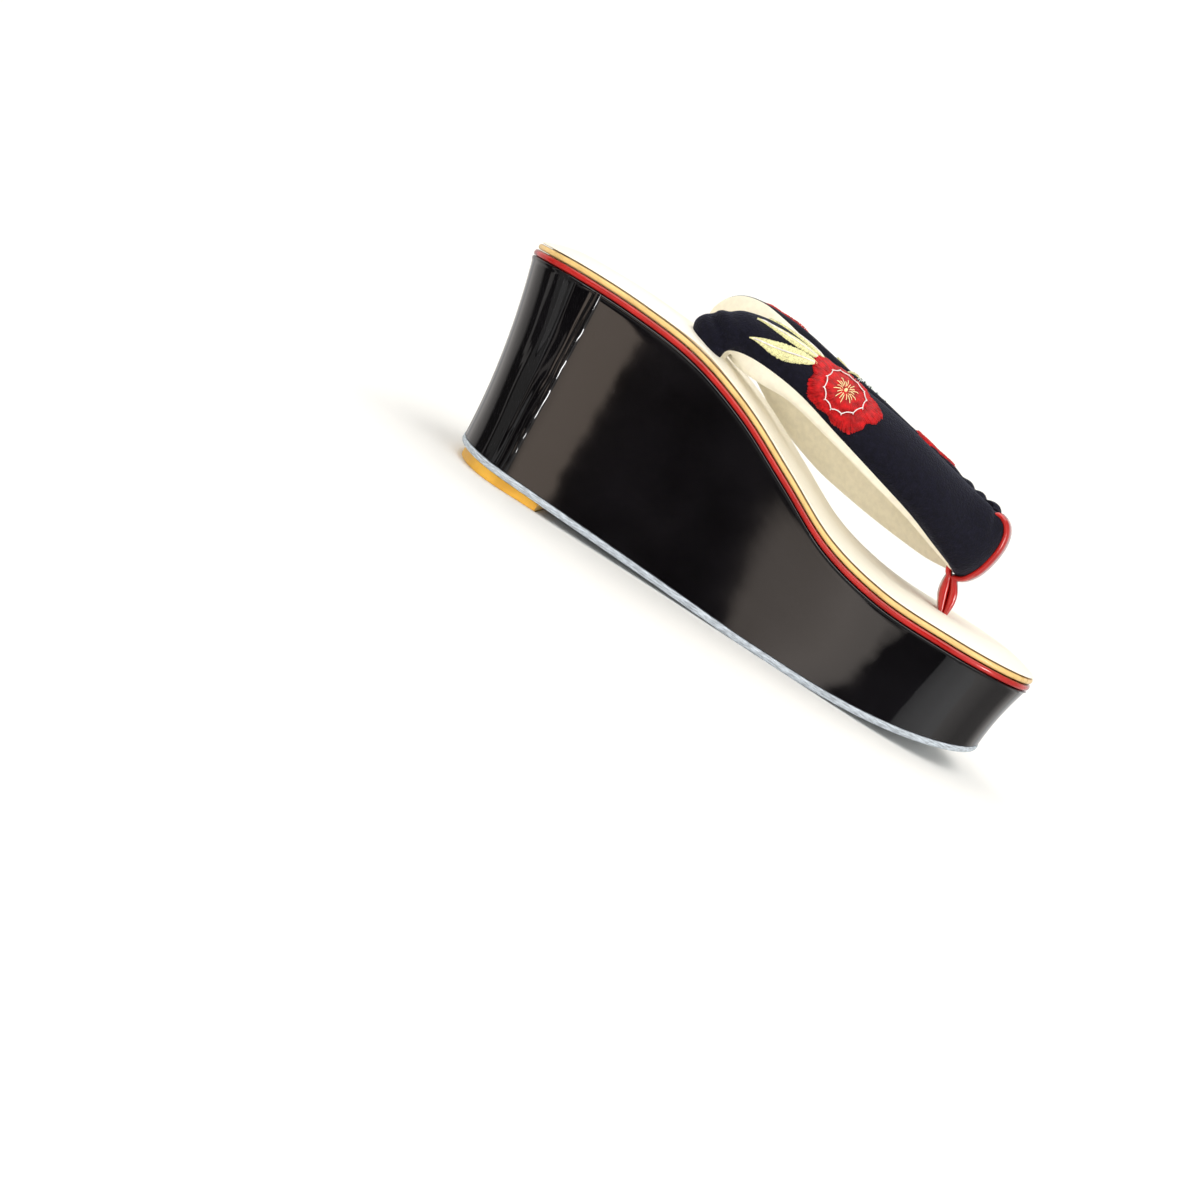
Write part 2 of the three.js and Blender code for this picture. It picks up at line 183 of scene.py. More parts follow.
class ZoriSizes(bpy.types.PropertyGroup):
    seam_pinch: millimetres("Seam pinch", "How far the strap's seams are drawn in", 1.3, 4)
    puff: millimetres("Padding", "Unevenness of the strap's padding", 0.5, 2)
    crease: bpy.props.FloatProperty(
        name="Creases", description="Depth of the strap's creases, as a share", default=1.0, min=0, max=2,
        subtype="FACTOR")
    lap: millimetres("Lap", "Thickness of the patent at a lapped seam", 0.55, 2)
    thread: millimetres("Thread", "Radius of the embroidery thread", 0.26, 1, least=0.1)


class ZoriColours(bpy.types.PropertyGroup):
    patent: swatch("Patent", "Platform's covering", 0.003, 0.0027, 0.0034)
    red: swatch("Red patent", "Piping and front loop", 0.46, 0.012, 0.009)
    gold: swatch("Gold patent", "Upper piping", 0.84, 0.57, 0.21)
    footbed: swatch("Footbed", "Cream covering of the insole", 0.93, 0.88, 0.75)
    lining: swatch("Lining", "Velvet under the strap", 0.85, 0.79, 0.63)
    crepe: swatch("Crepe", "Top of the strap", 0.0064, 0.0062, 0.0125)
    outsole: swatch("Outsole", "Split leather", 0.50, 0.55, 0.60)
    lift: swatch("Heel lift", "Rubber", 0.95, 0.50, 0.06)
    petal: swatch("Petals", "Red satin thread", 0.50, 0.004, 0.006)
    ring: swatch("Rings", "White thread of the flowers' rings and the leaves' ribs", 0.9, 0.84, 0.82)
    stamen: swatch("Stamens", "Yellow thread", 1.0, 0.88, 0.46)
    leaf: swatch("Leaves", "Pale yellow thread", 0.86, 0.80, 0.40)
    pine: swatch("Pine", "Green thread", 0.03, 0.065, 0.035)
    needle: swatch("Needles", "Silver thread", 0.72, 0.76, 0.74)


def smooth_column(places, values):
    """Smooth function through the values, straight at both ends."""
    def value(t):
        t = min(max(t, places[0]), places[-1])
        i = min(max(bisect.bisect_right(places, t) - 1, 0), len(places) - 2)
        t0, t1 = places[i], places[i + 1]
        half = (t1 - t0) / 2
        before, lead = (values[i - 1], half / (t0 - places[i - 1])) if i else (values[i + 1], -0.5)
        inside = i + 2 < len(places)
        after, trail = (values[i + 2], half / (places[i + 2] - t1)) if inside else (values[i], -0.5)
        p = (t - t0) / (t1 - t0)
        return (before * (-lead * p ** 3 + 2 * lead * p * p - lead * p)
                + values[i] * ((1 + lead) * p ** 3 - (1.5 + 2 * lead) * p * p + (lead - 0.5) * p + 1)
                + values[i + 1] * ((-1 - trail) * p ** 3 + (1.5 + trail) * p * p + 0.5 * p)
                + after * (trail * p ** 3 - trail * p * p))
    return value


def table_column(rows, k=1):
    """Smooth function through column k of a table whose first column is the place."""
    return smooth_column([row[0] for row in rows], [row[k] for row in rows])


def by_half(table):
    return {half: table_column(rows) for half, rows in table.items()}


rim_half = table_column(WIDTHS)
flare_at = table_column(WIDTHS, 2)
rim_line = table_column(RIM_LINE)
crest_drop = table_column(CREST_DROP)
SAGS, DROPS, PUFFS = by_half(LINING_SAG), by_half(EDGE_DROP), by_half(CREST_PUFF)

RIM = {"heel": -LENGTH / 2, "toe": LENGTH / 2, "half": rim_half,
       "heel_round": 32, "heel_full": 2.3, "toe_round": 50, "toe_full": 2.35}
FOOT = {"heel": RIM["heel"] + HEEL_UNDERCUT, "toe": RIM["toe"] - TOE_UNDERCUT,
        "half": lambda x: rim_half(x) + flare_at(x),
        "heel_round": 29, "heel_full": 2.3, "toe_round": 50, "toe_full": 2.3}
GOLD_MIDDLE = RED_HEIGHT / 2 + FIT_GAP + GOLD_HEIGHT / 2
INSOLE_EDGE = GOLD_MIDDLE + GOLD_HEIGHT / 2 + FIT_GAP
STEM_SEAT = rim_line(THONG_X) + INSOLE_EDGE + EDGE_RISE + INSOLE_CROWN


def tread_height(x):
    ramp = TREAD["ramp_slope"] * max(0, TREAD["ramp_end"] - x)
    return ramp + TREAD["spring_rate"] * max(0, x - TREAD["flat_end"]) ** 2


def station(i, count=STATIONS):
    return (1 - math.cos(math.pi * i / (count - 1))) / 2


def outline_point(shape, inset, share, side):
    """Point of the shoe's outline seen from above, at a share of its length from heel to toe."""
    back = shape["heel"] + inset
    front = shape["toe"] - inset

    def round_off(distance, length, fullness):
        left = min(max(1 - distance / max(SHORTEST_ROUND, length - inset), 0), 1)
        return (1 - left ** fullness) ** (1 / fullness)

    x = back + (front - back) * share
    ends = round_off(x - back, shape["heel_round"], shape["heel_full"])
    ends *= round_off(front - x, shape["toe_round"], shape["toe_full"])
    return Vector((x, side * (shape["half"](x) - inset) * ends, 0))


def outline_ring(shape, inset, height):
    """Ring from the heel's tip along the right side to the toe and back, lifted to height(x)."""
    ring = [outline_point(shape, inset, station(i), -1) for i in range(STATIONS)]
    ring += [Vector((p.x, -p.y, 0)) for p in ring[-2:0:-1]]
    for p in ring:
        p.z = height(p.x)
    return ring


def shrinking(ring, height):
    """Rings that close an outline down to its middle line."""
    rings = []
    for step in range(1, CAP_STEPS + 1):
        share = 1 - step / CAP_STEPS
        rings.append([Vector((p.x, p.y * share, height(p.x))) for p in ring])
    return rings


def next_ring(bm, loop, edges):
    """Extrudes a ring of edges, and gives its new vertices in the order of the old ones, and its new edges."""
    made = bmesh.ops.extrude_edge_only(bm, edges=edges)["geom"]
    fresh = {g for g in made if isinstance(g, bmesh.types.BMVert)}
    edges = [g for g in made if isinstance(g, bmesh.types.BMEdge) and fresh.issuperset(g.verts)]
    loop = [next(w for w in (e.other_vert(v) for e in v.link_edges) if w in fresh) for v in loop]
    return loop, edges


def skin(rings, capped=False, crevice=None):
    """Mesh drawn over a run of closed rings of points in millimetres. crevice(ring, point) is 1 deep in a seam, where
    the finish paints shade.
    """
    bm = bmesh.new()
    depth = bm.verts.layers.float.new("crevice")
    loop = bmesh.ops.create_circle(bm, segments=len(rings[0]), radius=1)["verts"]
    starts = edges = bm.edges[:]
    for n, ring in enumerate(rings):
        if n:
            loop, edges = next_ring(bm, loop, edges)
        for k, (vert, place) in enumerate(zip(loop, ring)):
            vert.co = place * MM
            vert[depth] = crevice(n, k) if crevice else 0
    if capped:
        bmesh.ops.contextual_create(bm, geom=starts)
        bmesh.ops.contextual_create(bm, geom=edges)
    bmesh.ops.remove_doubles(bm, verts=bm.verts, dist=1e-6)
    bmesh.ops.recalc_face_normals(bm, faces=bm.faces)
    return bm


def mesh_of(bm, name):
    mesh = bpy.data.meshes.new(name)
    bm.to_mesh(mesh)
    bm.free()
    return mesh


def show(data, name, material=None):
    """Object in the scene, of a mesh in one material or of a lamp, camera or curve."""
    obj = bpy.data.objects.new(name, data)
    bpy.context.scene.collection.objects.link(obj)
    if material:
        data.materials.clear()
        data.materials.append(material)
    return obj


def settle(mesh, name, look, replaces=None):
    """Object of a mesh in one of the finishes, riding on the sandal."""
    obj = show(mesh, name, finishes()[look])
    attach(obj, BODY)
    if replaces:
        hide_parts(replaces)
    return obj


def piece(bm, name, look, replaces=None, sharp=40):
    mesh = mesh_of(bm, name)
    mesh.shade_smooth()
    mesh.set_sharp_from_angle(angle=math.radians(sharp))
    return settle(mesh, name, look, replaces)


# Finishes

def feed(tree, socket, value):
    """Links a socket to another one, or sets its constant."""
    if isinstance(value, bpy.types.NodeSocket):
        tree.links.new(value, socket)
    else:
        socket.default_value = value


def add_node(tree, kind, **values):
    """Node with its sockets and settings given by name, with spaces written as underscores."""
    made = tree.nodes.new(kind)
    sockets = {s.name.lower().replace(" ", "_"): s for s in reversed(made.inputs)}
    for key, value in values.items():
        if key in sockets:
            feed(tree, sockets[key], value)
        else:
            setattr(made, key, value)
    return made


def map_range(tree, value, **limits):
    return add_node(tree, "ShaderNodeMapRange", value=value, **limits).outputs["Result"]


def multiply_add(tree, *values):
    made = add_node(tree, "ShaderNodeMath", operation="MULTIPLY_ADD")
    for socket, value in zip(made.inputs, values):
        feed(tree, socket, value)
    return made.outputs[0]


def blank_material(name):
    """Material with an empty node tree, the tree, and the Object coordinates in it."""
    material = bpy.data.materials.new(name)
    material.use_nodes = True
    tree = material.node_tree
    tree.nodes.clear()
    return material, tree, add_node(tree, "ShaderNodeTexCoord").outputs["Object"]


def grain_group():
    """Shared grain: a height for the bump and a slow tone for colour and gloss."""
    found = bpy.data.node_groups.get("Grain")
    if found:
        return found
    tree = bpy.data.node_groups.new("Grain", "ShaderNodeTree")
    tree.interface.new_socket("Vector", in_out="INPUT", socket_type="NodeSocketVector")
    for name, default in (("Scale", 500), ("Detail", 3), ("Pebbles", 0.3), ("Tone Scale", 60)):
        socket = tree.interface.new_socket(name, in_out="INPUT", socket_type="NodeSocketFloat")
        socket.default_value = default
    for name in ("Height", "Tone"):
        tree.interface.new_socket(name, in_out="OUTPUT", socket_type="NodeSocketFloat")
    given = tree.nodes.new("NodeGroupInput").outputs
    fine = add_node(tree, "ShaderNodeTexNoise", vector=given["Vector"], scale=given["Scale"], detail=given["Detail"],
                    roughness=0.6)
    cells = add_node(tree, "ShaderNodeTexVoronoi", vector=given["Vector"], scale=given["Scale"], feature="F1")
    height = add_node(tree, "ShaderNodeMix", factor=given["Pebbles"], a=fine.outputs["Fac"],
                      b=cells.outputs["Distance"])
    slow = add_node(tree, "ShaderNodeTexNoise", vector=given["Vector"], scale=given["Tone Scale"], detail=4.0)
    add_node(tree, "NodeGroupOutput", height=height.outputs["Result"], tone=slow.outputs["Fac"])
    return tree


TONE_LOW, TONE_HIGH = 0.35, 0.65


def finish(name, colour, tones=(0.8, 1.15), gloss=(0.4, 0.5), grain=500, detail=3.0, pebbles=0.3, tone_scale=60,
           stretch=(1, 1, 1), relief=0.0002, strength=0.4, soil=None, **shader):
    """Material of one colour that varies with the grain, in tone, gloss and relief, and is painted darker in crevices
    to stand for their shade.
    """
    material, tree, place = blank_material(name)
    group = tree.nodes.new("ShaderNodeGroup")
    group.node_tree = grain_group()
    place = add_node(tree, "ShaderNodeMapping", vector=place, scale=stretch).outputs["Vector"]
    for key, value in (("Vector", place), ("Scale", grain), ("Detail", detail), ("Pebbles", pebbles),
                       ("Tone Scale", tone_scale)):
        feed(tree, group.inputs[key], value)
    tone = group.outputs["Tone"]
    paint = add_node(tree, "ShaderNodeValToRGB", fac=tone)
    for stop, at, share in zip(paint.color_ramp.elements, (TONE_LOW, TONE_HIGH), tones):
        stop.position = at
        stop.color = [min(c * share, 1) for c in colour] + [1]
    tint = paint.outputs["Color"]
    # Painted shade: where the crevice layer marks a seam, the colour is mixed towards the darker crevice colour.
    if soil:
        crevice = add_node(tree, "ShaderNodeAttribute", attribute_name="crevice").outputs["Fac"]
        mixed = add_node(tree, "ShaderNodeMix", data_type="RGBA", factor=crevice)
        for socket, value in zip((s for s in mixed.inputs if s.type == "RGBA"), (tint, (*soil, 1))):
            feed(tree, socket, value)
        tint = next(s for s in mixed.outputs if s.type == "RGBA")
    shine = map_range(tree, tone, from_min=TONE_LOW, from_max=TONE_HIGH, to_min=gloss[0], to_max=gloss[1])
    if relief:
        bump = add_node(tree, "ShaderNodeBump", height=group.outputs["Height"], strength=strength, distance=relief)
        shader["normal"] = bump.outputs["Normal"]
    bsdf = add_node(tree, "ShaderNodeBsdfPrincipled", base_color=tint, roughness=shine, **shader)
    add_node(tree, "ShaderNodeOutputMaterial", surface=bsdf.outputs["BSDF"])
    return material


def finishes():
    """The sandal's materials by name, made once."""
    paint = bpy.context.scene.zori_colours
    thread = dict(grain=4000, relief=0.0001, strength=0.3)
    recipes = {
        "black_patent": dict(
            colour=paint.patent, tones=(0.7, 1.5), gloss=(0.03, 0.07), grain=90, detail=1.0, pebbles=0.1,
            tone_scale=35, relief=0.0004, strength=0.025, coat_weight=0.5, coat_roughness=0.02),
        # The crevice colours of the pipings and footbed are painted shade in the seams between them.
        "red_patent": dict(
            colour=paint.red, tones=(0.85, 1.15), gloss=(0.14, 0.26), grain=260, detail=2.0, pebbles=0.1,
            tone_scale=80, relief=0.0004, strength=0.15, coat_weight=0.6, coat_roughness=0.06,
            soil=(0.14, 0.008, 0.006)),
        "gold_patent": dict(
            colour=paint.gold, tones=(0.88, 1.1), gloss=(0.25, 0.4), pebbles=0.2, tone_scale=90, relief=0.0003,
            strength=0.15, coat_weight=0.3, coat_roughness=0.1, soil=(0.5, 0.28, 0.1)),
        "cream_footbed": dict(
            colour=paint.footbed, tones=(0.96, 1.03), gloss=(0.42, 0.55), grain=1500, pebbles=0.6, tone_scale=25,
            strength=0.25, soil=(0.85, 0.75, 0.55)),
        "cream_velvet": dict(
            colour=paint.lining, tones=(0.95, 1.04), gloss=(0.85, 0.95), grain=2600, detail=4.0, pebbles=0.2,
            tone_scale=400, relief=0.0003, strength=0.35, sheen_weight=0.6, sheen_roughness=0.4,
            sheen_tint=(1, 0.97, 0.88, 1)),
        "black_crepe": dict(
            colour=paint.crepe, tones=(0.75, 1.35), gloss=(0.8, 0.92), grain=1500, detail=2.0, pebbles=0.75,
            tone_scale=700, stretch=(1, 0.8, 1), relief=0.0004, strength=0.7, sheen_weight=0.12,
            sheen_roughness=0.35, sheen_tint=(0.6, 0.65, 0.9, 1), specular_ior_level=0.15),
        "split_leather": dict(
            colour=paint.outsole, tones=(0.7, 1.35), gloss=(0.85, 0.95), grain=2400, detail=5.0, pebbles=0.2,
            tone_scale=900, stretch=(0.4, 0.4, 2.5), relief=0.0005, strength=0.7),
        "lift_rubber": dict(
            colour=paint.lift, tones=(0.85, 1.12), gloss=(0.4, 0.6), grain=900, tone_scale=120, relief=0.0003,
            strength=0.3, subsurface_weight=0.08, subsurface_radius=(0.002, 0.001, 0.0004)),
        "petal_thread": dict(thread, colour=paint.petal, tones=(0.6, 1.25), gloss=(0.35, 0.5), tone_scale=500,
                             specular_ior_level=0.25),
        "white_thread": dict(thread, colour=paint.ring, tones=(0.8, 1.05), gloss=(0.4, 0.55), tone_scale=700),
        "stamen_thread": dict(thread, colour=paint.stamen, tones=(0.9, 1.05), gloss=(0.35, 0.5), tone_scale=700),
        "leaf_thread": dict(thread, colour=paint.leaf, tones=(0.6, 1.2), gloss=(0.35, 0.5), tone_scale=2400,
                            sheen_weight=0.15),
        "pine_thread": dict(thread, colour=paint.pine, tones=(0.7, 1.5), gloss=(0.4, 0.55), tone_scale=600),
        "silver_thread": dict(thread, colour=paint.needle, tones=(0.7, 1.2), gloss=(0.3, 0.45), tone_scale=700),
    }
    made = bpy.data.materials
    return {name: made.get("zori_" + name) or finish("zori_" + name, **recipe) for name, recipe in recipes.items()}


# Sole, platform and rim

def foot_height(x):
    return tread_height(x) + OUTSOLE_THICK + FIT_GAP


def top_height(x):
    return rim_line(x) - RED_HEIGHT / 2 - FIT_GAP


def wall(share, side, rise, out=0.0):
    """Point of the platform's hollowed wall. share runs heel to toe, rise from foot to rim."""
    def flat(at):
        low = outline_point(FOOT, 0, at, side)
        low.z = foot_height(low.x)
        high = outline_point(RIM, GOLD_SETBACK, at, side)
        high.z = top_height(high.x)
        return low.lerp(high, rise), high.z - low.z

    place, height = flat(share)
    near = flat(max(share - 2e-4, 0))[0]
    far = flat(min(share + 2e-4, 1))[0]
    inward = Vector((near.y - far.y, far.x - near.x, 0)).normalized() * -side
    return place + inward * (WALL_HOLLOW * height * 4 * rise * (1 - rise) - out)


def wall_ring(rise, out=0.0, lift=0.0):
    right = [wall(station(i), -1, rise, out) for i in range(STATIONS)]
    left = [wall(station(i), 1, rise, out) for i in range(STATIONS - 2, 0, -1)]
    return [p + Vector((0, 0, lift)) for p in right + left]


class ZoriSole(bpy.types.Operator):
    """Heel lift of rubber and outsole of split leather with a fibrous edge"""
    bl_idname = "zori.sole"
    bl_label = "Sole"

    lift_bevel = 0.5
    corner = 50
    edge_profile = ((0.1, 0.6), (0.4, 0.25), (0.9, 0), (1.5, 0), (2.1, 0.05), (OUTSOLE_THICK, 0.2))
    tread_inset = 0.9
    side_fray = 0.16
    top_fray = 0.07

    def execute(self, context):
        self.heel_lift()
        self.outsole()
        return {"FINISHED"}

    def heel_lift(self):
        front = FOOT["heel"] + LIFT_LENGTH
        plan = outline_ring(FOOT, LIFT_INSET, lambda x: 0)
        behind = [p for p in plan if p.x <= front]
        half = max(p.y for p in behind)
        ends = [Vector((front, -half, 0)), Vector((front, half, 0))]
        turn = max(range(len(behind) - 1), key=lambda i: behind[i + 1].y - behind[i].y)
        plan = behind[:turn + 1] + ends + behind[turn + 1:]
        seat = [Vector((p.x, p.y, tread_height(p.x) - FIT_GAP)) for p in plan]
        bm = skin([plan, seat], capped=True)
        rims = [e for e in bm.edges if len(e.link_faces) == 2 and e.calc_face_angle() > math.radians(self.corner)]
        bmesh.ops.bevel(bm, geom=rims, offset=self.lift_bevel * MM, affect="EDGES", segments=3, profile=0.5,
                        material=-1)
        piece(bm, "heel_lift_rubber", "lift_rubber", "heel_lift")

    def outsole(self):
        rings = []
        for level, inset in self.edge_profile:
            ring = outline_ring(FOOT, inset - OUTSOLE_PROUD, lambda x: tread_height(x) + level)
            for p in ring:
                fray = noise.noise(Vector((p.x * 0.9, p.y * 0.9, level * 1.7)))
                p.y *= 1 + fray * self.side_fray / max(abs(p.y), 8)
                p.z += noise.noise(p * 0.35) * self.top_fray if level > 2 else 0
            rings.append(ring)
        flat = outline_ring(FOOT, self.tread_inset - OUTSOLE_PROUD, tread_height)
        under = shrinking(flat, tread_height)
        over = shrinking(rings[-1], lambda x: tread_height(x) + OUTSOLE_THICK)
        piece(skin(under[::-1] + [flat] + rings + over), "outsole_leather", "split_leather", "outsole")


class ZoriPlatform(bpy.types.Operator):
    """Platform covered in black patent, with the lapped seams at its heel and toe"""
    bl_idname = "zori.platform"
    bl_label = "Platform"

    plain_wall = 0.965
    lip = ((0.973, 0.04), (0.979, 0.16), (0.985, 0.3), (0.99, 0.34), (0.995, 0.24), (1.0, 0.0))
    rolled = ((-0.25, 0.12), (-0.8, 0.2))
    tucked = ((-1.0, -0.15), (-0.3, -0.1))
    heel_seam = (0.119, 0.1455)
    heel_ripple = 0.11
    toe_seam = 0.985
    edge_steps = ((0.0016, 0.55), (0.0029, 0.0))
    margin = 0.004
    wander = 0.0012
    film = 0.03
    backing = -0.35

    def execute(self, context):
        steps = [wall_ring(self.plain_wall * i / WALL_STEPS) for i in range(WALL_STEPS + 1)]
        steps += [wall_ring(rise, out) for rise, out in self.lip]
        rolled = [wall_ring(1, out, lift) for out, lift in self.rolled]
        tucked = [wall_ring(0, out, lift) for out, lift in self.tucked]
        under = shrinking(tucked[0], lambda x: foot_height(x) + self.tucked[0][1])
        over = shrinking(rolled[-1], lambda x: top_height(x) + self.rolled[-1][1])
        piece(skin(under[::-1] + tucked + steps + rolled + over), "platform_patent", "black_patent", "platform")
        self.lap("heel_lap", (0.0, 0.0), self.heel_seam, -1, self.heel_ripple)
        self.lap("toe_lap", (self.toe_seam, self.toe_seam), (1.0, 1.0), 1, 0.0)
        return {"FINISHED"}

    def lap(self, name, start, end, side, ripple):
        """Panel of patent that laps over the wall up to a free edge, where it is thickest."""
        thick = bpy.context.scene.zori_sizes.lap / MM
        across, rises, backs = 44, 60, 6
        free = end[0] < 1
        rings = []
        for r in range(rises + 1):
            rise = self.margin + (1 - 2 * self.margin) * r / rises
            edge = thick * (1.05 + 0.5 * noise.noise(Vector((rise * 17, 7.7, 0))))
            first = start[0] + (start[1] - start[0]) * rise
            last = end[0] + (end[1] - end[0]) * rise
            last += self.wander * noise.noise(Vector((rise * 9, 3.1, 0))) * free
            ring = []
            for k in range(across + 1):
                part = k / across
                share = first + (last - first) * math.sin(part * math.pi / 2) ** 0.8
                wave = math.sin(part * 44 + 3.0 * noise.noise(Vector((rise * 3.0, part * 4, 1.5))))
                fade = math.sin(math.pi * part) * (0.6 + 0.8 * noise.noise(Vector((part * 6, rise * 2, 5))))
                lift = self.film + (edge - self.film) * part ** 3 + ripple * wave * fade
                ring.append(wall(min(share, 1), side, rise, lift))
            for step, height in self.edge_steps:
                ring.append(wall(min(last + step * free, 1), side, rise, edge * height))
            for k in range(backs, -1, -1):
                ring.append(wall(min(first + (last - first) * k / backs, 1), side, rise, self.backing))
            rings.append(ring)
        piece(skin(rings, capped=True), name, "black_patent", sharp=25)


class ZoriRim(bpy.types.Operator):
    """Red and gold piping round the rim, each butted at the toe"""
    bl_idname = "zori.rim"
    bl_label = "Piping"

    round_steps = 8
    bulge = 0.9
    butt = 0.12
    end_inset = 0.25
    end_height = 0.85

    def execute(self, context):
        self.piping("red_piping_edge", 0, RED_HEIGHT, 0, "red_patent", "red_piping")
        self.piping("gold_piping_edge", GOLD_MIDDLE, GOLD_HEIGHT, GOLD_SETBACK, "gold_patent", "gold_piping")
        return {"FINISHED"}

    def piping(self, name, middle, height, setback, look, node):
        half = height / 2
        turns = [math.pi * (k / self.round_steps - 0.5) for k in range(self.round_steps + 1)]
        profile = [(setback + (1 - math.cos(turn)) * self.bulge, half * math.sin(turn)) for turn in turns]
        profile = [(PIPING_DEPTH, -half)] + profile + [(PIPING_DEPTH, half)]
        way = [(station(i), -1) for i in range(STATIONS - 1, -1, -1)] + [(station(i), 1) for i in range(1, STATIONS)]
        rings = []
        for n, (share, side) in enumerate(way):
            end = n in (0, len(way) - 1)
            ring = []
            for inset, rise in profile:
                p = outline_point(RIM, inset + self.end_inset * end, share, side)
                p.y += side * self.butt * (share > 0.9999)
                p.z = rim_line(p.x) + middle + rise * (self.end_height if end else 1)
                ring.append(p)
            rings.append(ring)

        # Crevice depth for the painted shade: full at the piping's hidden back and at its top and bottom edges, none
        # at the middle of its rounded front.
        def sunk(n, k):
            return abs(math.sin(turns[k - 1])) ** 6 if 0 < k < len(profile) - 1 else 1

        piece(skin(rings, capped=True, crevice=sunk), name, look, node, sharp=60)


class ZoriFootbed(bpy.types.Operator):
    """Padded footbed with a rolled edge, drawn down at the stem and full round the strap's roots"""
    bl_idname = "zori.footbed"
    bl_label = "Footbed"

    dents = ((-44, -29, -0.8, 12), (-46, 29, -0.8, 12), (THONG_X, THONG_Y, 0.9, 7))
    insets = (0, 0.15, 0.6, 1.4, *(2.6 + 1.7 * k for k in range(15)))
    roll_start = 0.35
    edge_shades = (0.8, 0.3)

    def execute(self, context):
        def edge(x):
            return rim_line(x) + INSOLE_EDGE

        def bottom(x):
            return rim_line(x) - RED_HEIGHT / 2

        plug = PIPING_DEPTH + FIT_GAP
        rings = [outline_ring(RIM, plug, bottom), outline_ring(RIM, plug, edge),
                 outline_ring(RIM, INSOLE_SETBACK + INSOLE_LIP, edge)]
        under = shrinking(rings[0], bottom)
        first = len(under) + len(rings)
        for inset in self.insets:
            roll = EDGE_RISE * min(1, self.roll_start + inset)
            ring = outline_ring(RIM, INSOLE_SETBACK + inset, edge)
            for p in ring:
                p.z += roll + self.crown(inset) - self.dent(p.x, p.y)
            rings.append(ring)
        over = shrinking(rings[-1], lambda x: edge(x) + EDGE_RISE + INSOLE_CROWN)
        for ring in over:
            for p in ring:
                p.z -= self.dent(p.x, p.y)
        # Crevice depth for the painted shade: full under the footbed, and fading over the first rings of its rolled
        # edge next to the gold piping.
        shades = dict(enumerate(self.edge_shades, first))
        bm = skin(under[::-1] + rings + over, crevice=lambda n, k: 1 if n < first else shades.get(n, 0))
        bed = piece(bm, "footbed", "cream_footbed", "insole")
        return {"FINISHED"}

    @staticmethod
    def crown(inset):
        return INSOLE_CROWN * (1 - (1 - min(1, inset / CROWN_ROLL)) ** 2)

    def dent(self, x, y):
        return sum(deep * math.exp(-((x - cx) ** 2 + (y - cy) ** 2) / wide ** 2) for cx, cy, deep, wide in self.dents)


# Strap

ROWS = STRAP[:0:-1] + STRAP
BEND_ROW = len(STRAP) - 1
LAST_ROW = len(ROWS) - 1


def strap_edge(which):
    right = [row.right[which] for row in STRAP[:0:-1]]
    return [Vector(p) for p in right + [row.left[which] for row in STRAP]]


OUTER, INNER = strap_edge(0), strap_edge(1)
over_at, under_at, arch_at = (smooth_column(range(len(ROWS)), [row[k] for row in ROWS]) for k in range(3))


def along_curve(points, t):
    """Point of the smooth curve through the points, at row t."""
    i = min(int(t), len(points) - 2)
    p = t - i
    a, b = points[i], points[i + 1]
    before = points[i - 1] if i else 2 * a - b
    after = points[i + 2] if i + 2 < len(points) else 2 * b - a
    lead, trail = (b - before) / 2, (after - a) / 2
    return a + lead * p + (3 * (b - a) - 2 * lead - trail) * p * p + (2 * (a - b) + lead + trail) * p ** 3


@functools.lru_cache(maxsize=None)
def strap_section(t):
    """Middle, way across, way up, half width, thickness over and under, and arch of the strap at row t."""
    outer, inner = along_curve(OUTER, t), along_curve(INNER, t)
    step = SLOPE_STEP * LAST_ROW
    lo, hi = max(0, t - step), min(LAST_ROW, t + step)
    ahead = along_curve(OUTER, hi) + along_curve(INNER, hi) - along_curve(OUTER, lo) - along_curve(INNER, lo)
    across = inner - outer
    up = ahead.cross(across).normalized()
    half = across.length / 2
    return (outer + inner) / 2, across.normalized(), up, half, over_at(t), under_at(t), arch_at(t)


def crease_depth(side, row, turn):
    """Depth of the creases at a row from the bend. turn runs from 0 at the outer seam to 1 at the inner one."""
    depth = 0
    for crease in CREASES:
        low, high = crease.reach
        if crease.half == side and low < turn < high:
            distance = (row - (crease.row + crease.slant * (turn - 0.5))) * ROW_LENGTH / crease.width
            depth += crease.depth * math.exp(-distance * distance) * math.sin(math.pi * (turn - low) / (high - low))
    return depth


